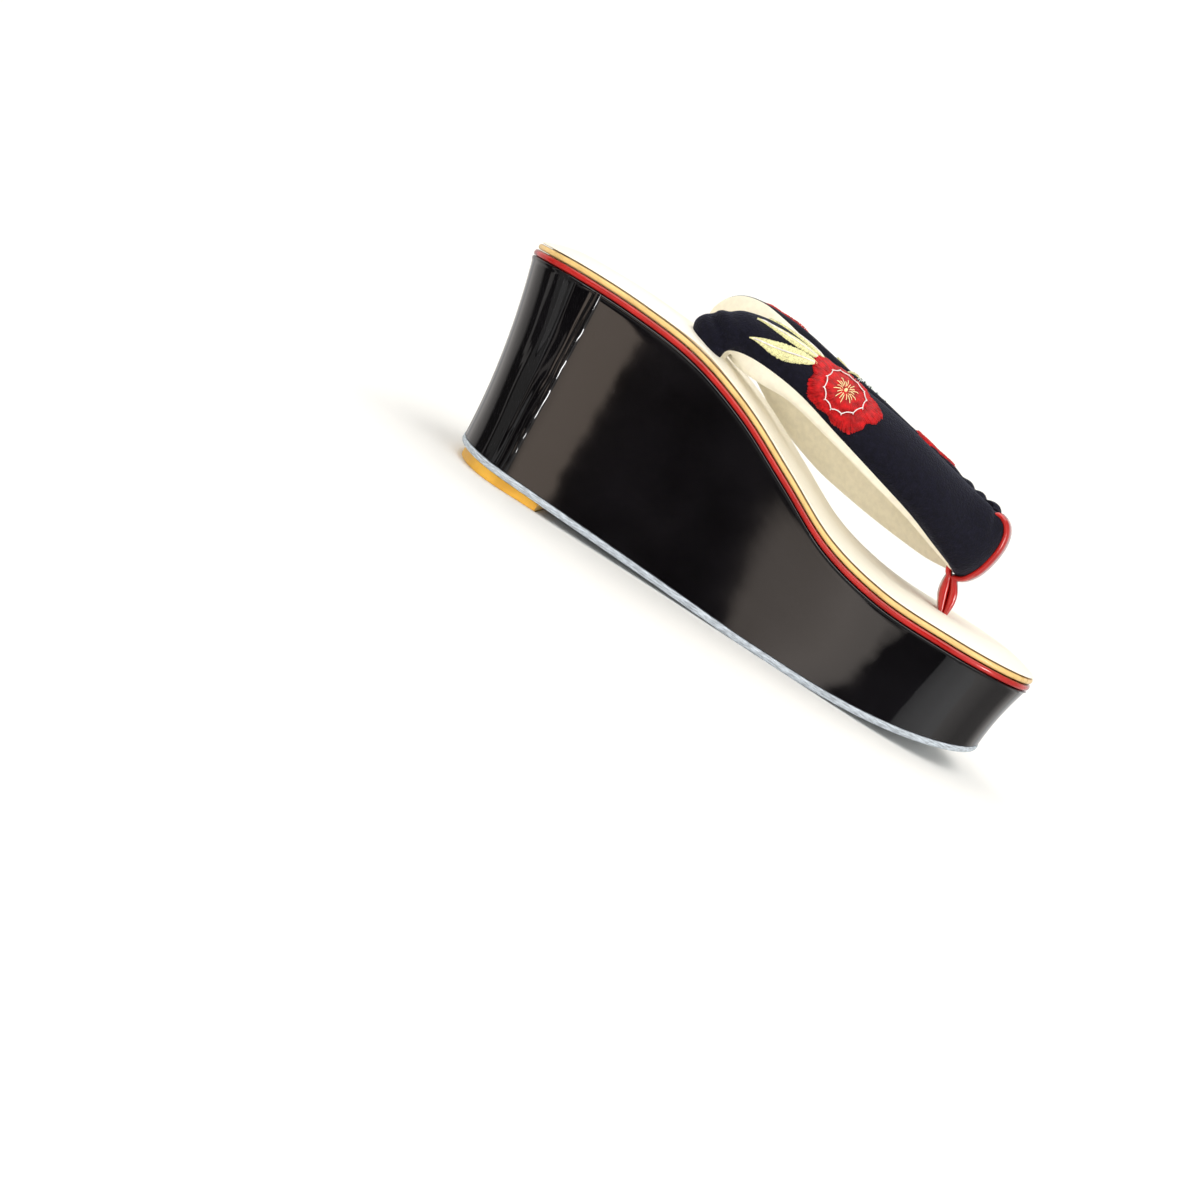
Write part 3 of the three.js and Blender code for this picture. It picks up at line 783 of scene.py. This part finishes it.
def strap_point(t, turn, under=False, grow=0.0, plain=False):
    """Point of the strap's crepe, or of its lining. turn runs from 0 at the outer seam to 1 at the inner one."""
    centre, across, up, half, over, below, arch = strap_section(t)
    angle = math.pi * (1 - turn)
    power = 2 / STRAP_FULLNESS
    width = math.copysign(abs(math.cos(angle)) ** power, math.cos(angle))
    swell = abs(math.sin(angle)) ** power
    lift = (-swell * (below + grow) if under else swell * (over + grow)) + arch * (1 - width * width)
    reach = half + grow
    if not plain:
        sizes = bpy.context.scene.zori_sizes
        puff = sizes.puff / MM
        side = "left" if t > BEND_ROW else "right"
        row = abs(t - BEND_ROW)
        gathered = min(row / LOOP_ROWS, 1)
        outer, inner = max(0, 1 - 2 * turn), max(0, 2 * turn - 1)
        if side == "left":
            lift -= crest_drop(row) * inner ** 2
            gathered -= 2 * min(max(row - FULL_ROW, 0), 1) * (turn > 0.5)
        else:
            bulge = math.exp(-((row - SHOULDER["row"]) / SHOULDER["width"]) ** 2)
            reach += SHOULDER["out"] * bulge * inner ** 2
        reach -= sizes.seam_pinch / MM * math.exp(-(swell / SEAM_WIDTH) ** 2) * gathered
        spot = (centre + across * (width * half) + up * lift) * PADDING_SCALE
        lift -= DROPS[side](row) * outer ** 2
        if under:
            lift -= swell * puff * (0.6 + 0.9 * noise.noise(spot))
            lift -= SAGS[side](row) * swell * (1 - 0.6 * turn)
        else:
            lift += swell * puff * noise.noise(spot + Vector((5, 0, 0)))
            full = PUFFS[side](row) * max(0, 2 * turn - 0.8)
            fold = sizes.crease * crease_depth(side, row, turn)
            lift += full * swell - fold
            reach += full * 0.8 - 0.7 * fold * inner
    return centre + across * (width * reach) + up * lift


class ZoriStrap(bpy.types.Operator):
    """Padded strap: crepe on top, velvet lining below, joined by a pinched seam at both edges"""
    bl_idname = "zori.strap"
    bl_label = "Strap"

    inside = (0.85, 0.65, 0.5, 0.35, 0.15)
    inside_width = 0.9
    most_sink = 1.0
    sink_share = 0.4

    def execute(self, context):
        crepe = self.shell("strap_crepe", False, "black_crepe", "strap")
        lining = self.shell("strap_lining", True, "cream_velvet")
        return {"FINISHED"}

    def shell(self, name, under, look, replaces=None):
        rings = []
        for s in range(STRAP_SECTIONS + 1):
            t = LAST_ROW * s / STRAP_SECTIONS
            centre, across, up, half, over, below, arch = strap_section(t)
            sink = min(self.most_sink, self.sink_share * below) * (1 if under else -1)
            ring = [strap_point(t, k / BAND_POINTS, under) for k in range(BAND_POINTS + 1)]
            for turn in self.inside:
                width = 2 * turn - 1
                lift = arch * (1 - width * width) + sink
                ring.append(centre + across * (width * half * self.inside_width) + up * lift)
            rings.append(ring)
        return piece(skin(rings, capped=True), name, look, replaces, sharp=75)


class ZoriFrontLoop(bpy.types.Operator):
    """Red patent strip that loops round the strap's bend and goes down into the footbed in two plies"""
    bl_idname = "zori.front_loop"
    bl_label = "Front loop"

    ply_thick = 2.3
    stem_bow = 1.3
    slit = 0.22
    ply_press = 0.15
    turn_in = 0.1
    neck_drop = 0.2
    wrap_rise = 8
    edge_thin = 0.12
    squareness = (0.35, 0.6)
    front_steps, back_steps, stem_steps, section_steps = 36, 20, 16, 16

    def execute(self, context):
        grow = FIT_GAP + LOOP_THICK / 2
        loop = [strap_point(BEND_ROW, k / self.front_steps, False, grow, plain=True)
                for k in range(1, self.front_steps + 1)]
        loop += [strap_point(BEND_ROW, k / self.back_steps, True, grow, plain=True)
                 for k in range(self.back_steps - 1, 0, -1)]
        neck = min(p.z for p in loop) - self.neck_drop
        way = self.ply(neck, 1) + [(p, self.ply_thick) for p in loop] + self.ply(neck, -1)[::-1]
        rings = []
        for i, (p, thick) in enumerate(way):
            ahead = (way[min(i + 1, len(way) - 1)][0] - way[max(i - 1, 0)][0]).normalized()
            out = Vector((ahead.z, 0, -ahead.x))
            rings.append([self.section_point(p, out, thick, k) for k in range(self.section_steps)])
        piece(skin(rings, capped=True), "front_loop_strip", "red_patent", "front_loop", sharp=70)
        return {"FINISHED"}

    def ply(self, neck, side):
        """One ply of the stem from the footbed up to the neck under the bend, with its thickness."""
        low = STEM_SEAT - STEM_DEPTH
        places = []
        for k in range(self.stem_steps + 1):
            z = low + (neck - low) * k / self.stem_steps
            rise = max(0, (z - STEM_SEAT) / (neck - STEM_SEAT))
            middle = THONG_X - STEM_LEAN * rise
            thick = self.ply_thick + self.stem_bow * math.sin(math.pi * rise)
            apart = thick / 2 + self.slit * math.sin(math.pi * rise) - self.ply_press
            places.append((Vector((middle + side * apart, THONG_Y, z)), thick))
        return places

    def section_point(self, place, out, thick, k):
        """Point of the strip's rounded cross-section, wrapped with the bend's plan curve."""
        angle = 2 * math.pi * k / self.section_steps
        wide, high = (math.copysign(abs(v) ** power, v)
                      for v, power in zip((math.cos(angle), math.sin(angle)), self.squareness))
        aside = wide * LOOP_WIDTH / 2
        rise = high * thick / 2 * (1 - self.edge_thin * (aside / LOOP_WIDTH * 2) ** 2)
        bent = min(max((place.z - STEM_SEAT - self.wrap_rise) / self.wrap_rise, 0), 1)
        wrap = bent * (aside * aside / (2 * BEND_RADIUS) - self.turn_in * aside)
        return place + out * rise + Vector((-wrap, aside, 0))


# Embroidery

class Band:
    """One half of the strap's crepe, measured along from the bend and across from its middle line."""

    def __init__(self, half):
        self.turned = 1 if half == "left" else -1
        self.grid = []
        for i in range(BAND_ROWS + 1):
            t = BEND_ROW + self.turned * BEND_ROW * i / BAND_ROWS
            self.grid.append([strap_point(t, k / BAND_POINTS) for k in range(BAND_POINTS + 1)])
        middle = BAND_POINTS // 2
        self.along = self.run([row[middle] for row in self.grid])
        self.across = []
        for row in self.grid:
            run = self.run(row)
            self.across.append([v - run[middle] for v in run])

    @staticmethod
    def run(points):
        """Distance from the first point to each one, measured along them."""
        run = [0.0]
        for a, b in zip(points, points[1:]):
            run.append(run[-1] + (b - a).length)
        return run

    @staticmethod
    def find(values, value):
        i = min(max(bisect.bisect_right(values, value) - 1, 0), len(values) - 2)
        return i, min(max((value - values[i]) / max(values[i + 1] - values[i], 1e-9), 0), 1)

    def place(self, along, across, lift):
        i, p = self.find(self.along, along)
        spots, steps = [], []
        for row in (i, i + 1):
            k, q = self.find(self.across[row], across)
            near, far = self.grid[row][k:k + 2]
            spots.append(near.lerp(far, q))
            steps.append(far - near)
        normal = (spots[1] - spots[0]).cross(steps[0] + steps[1]).normalized() * self.turned
        return spots[0].lerp(spots[1], p) + normal * lift


@functools.lru_cache(maxsize=None)
def band_of(half):
    return Band(half)


class Threads:
    """Stitches of one colour, gathered as round threads and made into one piece."""

    sunk_lift = -0.1
    sunk_radius = 0.7

    def __init__(self, name):
        self.name = name
        self.curve = bpy.data.curves.new(name, "CURVE")
        self.curve.dimensions = "3D"
        self.curve.bevel_depth = MM
        self.curve.bevel_resolution = 1
        self.curve.use_fill_caps = True

    def sew(self, band, points, radius, lift, sunk=True):
        """Thread through points given along and across, arched over the cloth and sunk at its ends."""
        spline = self.curve.splines.new("POLY")
        last = len(points) - 1
        spline.points.add(last)
        for n, (along, across) in enumerate(points):
            end = sunk and n in (0, last)
            place = band.place(along, across, self.sunk_lift if end else lift) * MM
            spline.points[n].co = (*place, 1)
            spline.points[n].radius = radius * (self.sunk_radius if end else 1)

    def done(self, look):
        maker = show(self.curve, self.name)
        shape = bpy.context.evaluated_depsgraph_get()
        mesh = bpy.data.meshes.new_from_object(maker.evaluated_get(shape))
        bpy.data.objects.remove(maker)
        mesh.name = self.name
        mesh.shade_smooth()
        settle(mesh, self.name, look)


# Places on a half of the strap are along and across. A flower has the radii of its petals and of the ring round
# its heart, and the turn of its petals
Flower = namedtuple("Flower", "half along across radii heart turn")
FLOWERS = (
    Flower("right", 90.3, -8.7, (16.8, 13.5), (8.5, 8.8), 0.3),
    Flower("left", 53, 6.5, (16, 18.5), (8.8, 10.2), 1.1),
    Flower("left", 126, 2, (14.5, 16.5), (8, 9), 2.0),
)

# A leaf has a width and a sideways bend
Leaf = namedtuple("Leaf", "half base tip width bend")
LEAVES = (
    Leaf("right", (104, -8.5), (135.5, -10), 6.2, -2.4),
    Leaf("right", (104, -5.5), (131, -0.8), 4.4, -1.2),
    Leaf("right", (103, -3), (125, 7), 5.0, 1.2),
    Leaf("left", (83, -5), (104, 20), 3.2, 2.0),
    Leaf("left", (83, -8), (109, 8), 3.0, 2.5),
    Leaf("left", (82, -4), (97, 24), 2.6, 1.5),
)

# A pine spray heads away from the run along the strap, towards the inner seam, in degrees
Spray = namedtuple("Spray", "half base heading length needles spread")
SPRAYS = (Spray("left", (80, -3), 66, 29, 7, 36), Spray("left", (80, -9), 248, 14, 6, 60))


def petal_reach(turn):
    """Outline of a flower: five lobed petals with ruffled edges."""
    return 0.96 + 0.05 * math.cos(5 * turn) - 0.06 * abs(math.sin(2.5 * turn)) ** 6 + 0.02 * math.cos(15 * turn + 0.6)


class ZoriFlowers(bpy.types.Operator):
    """Flowers in red satin stitch with a white scalloped ring and pale stamens"""
    bl_idname = "zori.flowers"
    bl_label = "Flowers"

    padding = ((0.985, -0.15), (0.95, 0.22), (0.75, 0.36), (0.5, 0.4), (0.25, 0.4), (0.05, 0.4))
    padding_points = 60
    satin_rounds = ((0.58, 1.0, 250), (0.54, 0.84, 190), (0.06, 0.66, 150))
    petal_lift = 0.52
    valley = 0.18
    scallops, scallop_points = 13, 8
    stamen_count, knot_count = 20, 9

    def execute(self, context):
        thread = context.scene.zori_sizes.thread / MM
        petals, ring, stamens = Threads("flower_petals"), Threads("flower_rings"), Threads("flower_stamens")
        ground = bmesh.new()
        for number, flower in enumerate(FLOWERS):
            draw = random.Random(40 + number)
            spot = functools.partial(self.spot, flower)
            heart = functools.partial(self.heart, flower)
            band = band_of(flower.half)
            self.ground(ground, band, spot)
            self.satin(petals, band, spot, draw, thread)
            self.ring(ring, band, heart, thread)
            self.stamens(stamens, band, heart, draw, thread)
        piece(ground, "flower_grounds", "petal_thread", sharp=60)
        petals.done("petal_thread")
        ring.done("white_thread")
        stamens.done("stamen_thread")
        return {"FINISHED"}

    @staticmethod
    def oval(flower, radii, turn, reach):
        angle = turn + flower.turn
        return (flower.along + reach * radii[0] * math.cos(angle), flower.across + reach * radii[1] * math.sin(angle))

    def spot(self, flower, turn, reach):
        """Place along and across of a point of the flower, reach being 1 at the petals' edge."""
        return self.oval(flower, flower.radii, turn, reach * (1 + (petal_reach(turn) - 1) * reach ** 3))

    def heart(self, flower, turn, reach):
        """Place along and across of a point of the flower's middle, reach being 1 at the ring."""
        return self.oval(flower, flower.heart, turn, reach)

    def ground(self, bm, band, spot):
        """Padding under the stitches."""
        count = self.padding_points
        loop = bmesh.ops.create_circle(bm, segments=count, radius=1)["verts"]
        edges = [e for e in bm.edges if e.verts[0] in loop]
        bmesh.ops.contextual_create(bm, geom=edges)
        for n, (reach, lift) in enumerate(self.padding):
            if n:
                loop, edges = next_ring(bm, loop, edges)
            for k, vert in enumerate(loop):
                vert.co = band.place(*spot(2 * math.pi * k / count, reach), lift) * MM
        bmesh.ops.contextual_create(bm, geom=edges)

    def satin(self, petals, band, spot, draw, thread):
        for low, high, count in self.satin_rounds:
            for k in range(count):
                turn = 2 * math.pi * (k + draw.uniform(-0.3, 0.3)) / count
                begin = low + draw.uniform(-0.04, 0.06)
                end = high - (draw.uniform(0, 0.03) if high == 1.0 else draw.uniform(-0.05, 0.06))
                lean = draw.uniform(-0.03, 0.03)
                way = [spot(turn + lean * p, begin + (end - begin) * p) for p in (0, 0.12, 0.5, 0.88, 1)]
                valley = self.valley * abs(math.sin(2.5 * turn)) ** 6
                petals.sew(band, way, thread * draw.uniform(0.9, 1.15), self.petal_lift - valley)

    def ring(self, ring, band, heart, thread):
        count = self.scallops * self.scallop_points
        way = []
        for k in range(count + 1):
            turn = 2 * math.pi * k / count
            way.append(heart(turn, 1 - 0.07 * abs(math.sin(self.scallops * turn / 2))))
        ring.sew(band, way, thread * 0.75, 0.95, sunk=False)
        for k in range(self.scallops):
            turn = 2 * math.pi * k / self.scallops
            ring.sew(band, [heart(turn, reach) for reach in (0.96, 1.02, 1.1)], thread * 0.85, 1.05)

    def stamens(self, stamens, band, heart, draw, thread):
        for k in range(self.stamen_count):
            turn = 2 * math.pi * (k + draw.uniform(-0.2, 0.2)) / self.stamen_count
            long = (0.72 if k % 2 else 0.54) + draw.uniform(-0.04, 0.04)
            stamens.sew(band, [heart(turn, p * long) for p in (0.2, 0.4, 0.7, 1)], thread * 0.55, 1.0)
        for k in range(self.knot_count):
            turn = 2 * math.pi * k / self.knot_count
            stamens.sew(band, [heart(turn + 1.2, 0.09), heart(turn, 0.03), heart(turn - 1.2, 0.09)], thread, 1.15)


class ZoriLeaves(bpy.types.Operator):
    """Long pale leaves in slanted satin stitch with a light midrib"""
    bl_idname = "zori.leaves"
    bl_label = "Leaves"

    stitch_step = 0.36
    slant = 0.1
    blade_lift, rib_lift = 0.42, 0.72
    rib_points = 12

    def execute(self, context):
        thread = context.scene.zori_sizes.thread / MM
        blades, ribs = Threads("leaf_blades"), Threads("leaf_ribs")
        for number, leaf in enumerate(LEAVES):
            draw = random.Random(70 + number)
            band = band_of(leaf.half)
            base, tip = Vector(leaf.base), Vector(leaf.tip)
            run = tip - base
            side = Vector((-run.y, run.x)).normalized()

            def rib(p):
                return base + run * p + side * leaf.bend * math.sin(math.pi * p)

            count = int(run.length / self.stitch_step)
            for k in range(count):
                p = (k + 0.5) / count
                ahead = p + self.slant * (1 - p)
                wide = leaf.width / 2 * math.sin(math.pi * ahead ** 0.75) ** 1.1
                for hand in (-1, 1):
                    far = rib(ahead) + side * hand * wide * draw.uniform(0.92, 1.08)
                    way = [tuple(rib(p).lerp(far, q)) for q in (0, 0.15, 0.5, 0.85, 1)]
                    blades.sew(band, way, thread, self.blade_lift)
            way = [tuple(rib(k / self.rib_points)) for k in range(self.rib_points + 1)]
            ribs.sew(band, way, thread * 1.1, self.rib_lift)
        blades.done("leaf_thread")
        ribs.done("white_thread")
        return {"FINISHED"}


class ZoriSprays(bpy.types.Operator):
    """Pine sprays: green stems with rows of silver stitches"""
    bl_idname = "zori.sprays"
    bl_label = "Pine sprays"

    needle_step = 1.05
    needle = (1.15, 0.62)
    stem_points = 8
    stem_bend = 5
    stem_lift, needle_lift = 0.35, 0.5

    def execute(self, context):
        thread = context.scene.zori_sizes.thread / MM
        greens, silvers = Threads("pine_stems"), Threads("pine_needles")
        for spray in SPRAYS:
            band = band_of(spray.half)
            base = Vector(spray.base)
            for n in range(spray.needles):
                part = n / (spray.needles - 1) - 0.5
                heading = math.radians(spray.heading + spray.spread * part)
                ahead = Vector((math.cos(heading), math.sin(heading)))
                aside = Vector((-ahead.y, ahead.x))
                long = spray.length * (1 - 0.25 * abs(part) * 2)

                def stem(p):
                    return base + ahead * (long * p) + aside * (part * self.stem_bend * p * p)

                way = [tuple(stem(k / self.stem_points)) for k in range(self.stem_points + 1)]
                greens.sew(band, way, thread * 0.9, self.stem_lift)
                steps = int(long / self.needle_step)
                for k in range(2, steps):
                    at = stem(k / steps)
                    for hand in (-1, 1):
                        tip = at + ahead * self.needle[0] + aside * hand * self.needle[1]
                        way = [tuple(at.lerp(tip, q)) for q in (0, 0.3, 0.7, 1)]
                        (silvers if (k + hand) % 4 else greens).sew(band, way, thread * 0.85, self.needle_lift)
        greens.done("pine_thread")
        silvers.done("silver_thread")
        return {"FINISHED"}


# Stage

class ZoriStage(bpy.types.Operator):
    """Pale round floor that sweeps up to a backdrop, soft lights and the camera"""
    bl_idname = "zori.stage"
    bl_label = "Stage"

    floor_flat, floor_bend, floor_top = 1.1, 1.1, 2.6
    bend_steps, floor_steps = 16, 72

    # Lamps: place, target, size and power
    lamps = {
        "overhead": ((0.0, 0.4, 2.0), (0, 0.4, 0), (3.0, 3.0), 43),
        "front_fill": ((0.1, -0.95, 1.0), (0, 0, 0.05), (1.4, 0.6), 7),
        "low_fill": ((0.15, -1.2, 0.12), (0.02, 0, 0.07), (1.4, 0.24), 6.5),
        "edge_strip": ((0.844, -0.533, 0.17), (-0.08, -0.04, 0.04), (0.17, 0.22), 2.4),
    }

    # Panels: size, place, axis of the bands, ends of the bands, strength, raggedness, and stops with brightness
    screens = {
        "front": ((2.6, 1.0), (0.5, -0.7, 0.15), "X", (-0.9, 0.9), 1.4, 0.014,
                  ((0.0, 0.012), (0.072, 0.012), (0.083, 0.35), (0.15, 0.3), (0.161, 0.012), (0.227, 0.012),
                   (0.235, 0.3), (0.266, 0.3), (0.274, 0.012), (0.372, 0.015), (0.376, 0.5), (0.405, 1.0),
                   (0.426, 0.95), (0.43, 0.03), (0.488, 0.012), (0.494, 0.7), (0.53, 1.0), (0.557, 0.85),
                   (0.561, 0.02), (0.72, 0.02), (0.726, 0.28), (0.80, 0.45), (1.0, 0.6))),
        "back": ((2.6, 1.2), (0.0, 1.3, 0.15), "X", (-0.9, 0.9), 1.2, 0.014,
                 ((0.0, 0.4), (0.2, 0.6), (0.21, 0.05), (0.33, 0.05), (0.34, 0.6), (0.5, 0.9), (0.51, 0.06),
                  (0.66, 0.05), (0.67, 0.7), (1.0, 0.6))),
        "toe": ((2.6, 1.6), (1.25, -0.1, -0.1), "Y", (-1.4, 1.2), 1.3, 0,
                ((0.0, 0.62), (0.27, 0.62), (0.37, 0.48), (0.5, 0.28), (0.7, 0.2), (1.0, 0.7))),
        "heel": ((2.2, 1.6), (-1.25, 0.5, 0.1), "Y", (-0.6, 1.6), 1.4, 0,
                 ((0.0, 0.03), (0.08, 0.03), (0.09, 0.3), (0.15, 0.35), (0.16, 0.03), (0.3, 0.03), (0.38, 0.3),
                  (0.7, 0.5), (1.0, 0.6))),
    }

    # Slant of the ragged bands and the kink in their upper part, as ranges of the place and of the shift
    lean = {"from_min": 0.03, "from_max": 0.11, "to_min": -0.42, "to_max": 0.05}
    kink_up = {"from_min": 0.075, "from_max": 0.275, "to_max": 0.2}
    kink_along = {"from_min": -0.05, "from_max": 0.0, "to_max": 0.21}

    # The ragged bands are warmest at one stop, and the plain ones have an even warmth
    warm_stop, warm_reach, even_warmth = 0.42, 0.3, 0.25
    warm_loss = (0, 0.19, 0.33)

    def execute(self, context):
        floor = self.floor()
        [self.screen(name, *plan) for name, plan in self.screens.items()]
        for name, (place, target, size, power) in self.lamps.items():
            light = bpy.data.lights.new(name, "AREA")
            light.shape = "RECTANGLE"
            light.size, light.size_y = size
            light.energy = power
            lamp = show(light, name)
            lamp.matrix_world = self.aimed(Vector(place), Vector(target) - Vector(place), Vector((0, 0, 1)))
            lamp.visible_diffuse = name != "edge_strip"
            lamp.visible_glossy = name != "low_fill"

        world = bpy.data.worlds.new("studio")
        world.use_nodes = True
        sky = world.node_tree.nodes["Background"]
        sky.inputs["Color"].default_value = (1.0, 0.985, 0.96, 1)
        sky.inputs["Strength"].default_value = 0.25
        context.scene.world = world
        context.scene.view_settings.view_transform = "Standard"

        lens = bpy.data.cameras.new("camera")
        lens.lens = 50
        lens.sensor_width = 36
        lens.clip_start = 0.01
        camera = show(lens, "camera")
        camera.matrix_world = self.aimed(Vector(CAMERA["place"]) * MM, Vector(CAMERA["ahead"]), Vector(CAMERA["up"]))
        context.scene.camera = camera
        return {"FINISHED"}

    def floor(self):
        """Round floor with a wall that bends up from it. The patent mirrors the panels alone."""
        profile = [(0.0, 0.0), (self.floor_flat, 0.0)]
        for k in range(1, self.bend_steps + 1):
            turn = math.pi / 2 * k / self.bend_steps
            out, up = math.sin(turn), 1 - math.cos(turn)
            profile.append((self.floor_flat + self.floor_bend * out, self.floor_bend * up))
        profile.append((self.floor_flat + self.floor_bend, self.floor_top))
        bm = bmesh.new()
        line = []
        for x, z in profile:
            line += bmesh.ops.create_vert(bm, co=(x, 0, z))["vert"]
        for pair in zip(line, line[1:]):
            bmesh.ops.contextual_create(bm, geom=pair)
        bmesh.ops.spin(bm, geom=bm.verts[:] + bm.edges[:], cent=(0, 0, 0), axis=(0, 0, 1), angle=2 * math.pi,
                       steps=self.floor_steps, use_merge=True)
        bmesh.ops.remove_doubles(bm, verts=bm.verts, dist=1e-5)
        bmesh.ops.recalc_face_normals(bm, faces=bm.faces)
        mesh = mesh_of(bm, "floor")
        mesh.shade_smooth()
        floor = show(mesh, "floor", finish("pale_paper", (0.9, 0.89, 0.86), tones=(0.99, 1.01), gloss=(0.8, 0.9),
                                           tone_scale=8, relief=0))
        floor.visible_glossy = False
        return floor

    def screen(self, name, size, place, axis, ends, strength, shake, stops):
        """Panel beside the sandal with bright bands, which the patent mirrors. The camera doesn't see it."""
        bm = bmesh.new()
        bmesh.ops.create_grid(bm, x_segments=1, y_segments=1, size=0.5)
        bmesh.ops.scale(bm, verts=bm.verts, vec=(*size, 1))
        stand = Matrix.Rotation(math.pi / 2, 3, "X")
        if axis == "Y":
            stand = Matrix.Rotation(math.pi / 2, 3, "Z") @ stand
        bmesh.ops.rotate(bm, verts=bm.verts, cent=(0, 0, 0), matrix=stand)
        bmesh.ops.translate(bm, verts=bm.verts, vec=place)
        glow = self.glow(name + "_bands", axis, ends, strength, shake, stops)
        panel = show(mesh_of(bm, name + "_screen"), name + "_screen", glow)
        panel.visible_camera = panel.visible_shadow = False
        panel.visible_diffuse = name == "front"
        return panel

    def glow(self, name, axis, ends, strength, shake, stops):
        """Light in bands along an axis, slanted and with ragged edges where shake isn't 0."""
        material, tree, place = blank_material(name)
        axes = add_node(tree, "ShaderNodeSeparateXYZ", vector=place).outputs
        along = axes[axis]
        if shake:
            along = multiply_add(tree, axes["Z"], map_range(tree, axes[axis], **self.lean), along)
            along = multiply_add(tree, map_range(tree, axes["Z"], **self.kink_up),
                                 map_range(tree, axes[axis], **self.kink_along), along)
            stretched = add_node(tree, "ShaderNodeMapping", vector=place, scale=(1, 1, 0.8)).outputs["Vector"]
            ragged = add_node(tree, "ShaderNodeTexNoise", vector=stretched, scale=36.0, detail=3.0, roughness=0.6)
            along = multiply_add(tree, ragged.outputs["Fac"], shake, along)
        ramp = add_node(tree, "ShaderNodeValToRGB", fac=map_range(tree, along, from_min=ends[0], from_max=ends[1]))
        for n, (at, bright) in enumerate(stops):
            stop = ramp.color_ramp.elements[n] if n < 2 else ramp.color_ramp.elements.new(at)
            stop.position = at
            warm = max(0, 1 - abs(at - self.warm_stop) / self.warm_reach) if shake else self.even_warmth
            stop.color = [bright * (1 - loss * warm) for loss in self.warm_loss] + [1]
        light = add_node(tree, "ShaderNodeEmission", color=ramp.outputs["Color"], strength=strength)
        add_node(tree, "ShaderNodeOutputMaterial", surface=light.outputs["Emission"])
        return material

    @staticmethod
    def aimed(place, ahead, up):
        """Matrix of a lamp or camera at place that looks ahead."""
        back = -ahead.normalized()
        if abs(back.dot(up.normalized())) > 0.999:
            up = Vector((0, 1, 0))
        right = up.cross(back).normalized()
        turned = Matrix((right, back.cross(right), back)).transposed().to_4x4()
        return Matrix.Translation(place) @ turned


OPERATORS = (ZoriStage, ZoriSole, ZoriPlatform, ZoriRim, ZoriFootbed, ZoriStrap, ZoriFrontLoop, ZoriFlowers,
             ZoriLeaves, ZoriSprays)


class ZoriPanel(bpy.types.Panel):
    """Sizes, colours and pieces of the zori"""
    bl_idname = "VIEW3D_PT_zori"
    bl_label = "Zori"
    bl_space_type = "VIEW_3D"
    bl_region_type = "UI"
    bl_category = "Zori"

    def draw(self, context):
        for group in (context.scene.zori_sizes, context.scene.zori_colours):
            for name in group.bl_rna.properties.keys():
                if name not in ("rna_type", "name"):
                    self.layout.prop(group, name)
        for operator in OPERATORS:
            self.layout.operator(operator.bl_idname)


CLASSES = (ZoriSizes, ZoriColours, *OPERATORS, ZoriPanel)


def register():
    for cls in CLASSES:
        bpy.utils.register_class(cls)
    bpy.types.Scene.zori_sizes = bpy.props.PointerProperty(type=ZoriSizes)
    bpy.types.Scene.zori_colours = bpy.props.PointerProperty(type=ZoriColours)


def unregister():
    del bpy.types.Scene.zori_colours
    del bpy.types.Scene.zori_sizes
    for cls in reversed(CLASSES):
        bpy.utils.unregister_class(cls)


def main():
    register()
    bpy.ops.zori.stage()
    bpy.ops.zori.sole()
    bpy.ops.zori.platform()
    bpy.ops.zori.rim()
    bpy.ops.zori.footbed()
    bpy.ops.zori.strap()
    bpy.ops.zori.front_loop()
    bpy.ops.zori.flowers()
    bpy.ops.zori.leaves()
    bpy.ops.zori.sprays()


if __name__ == "__main__":
    main()
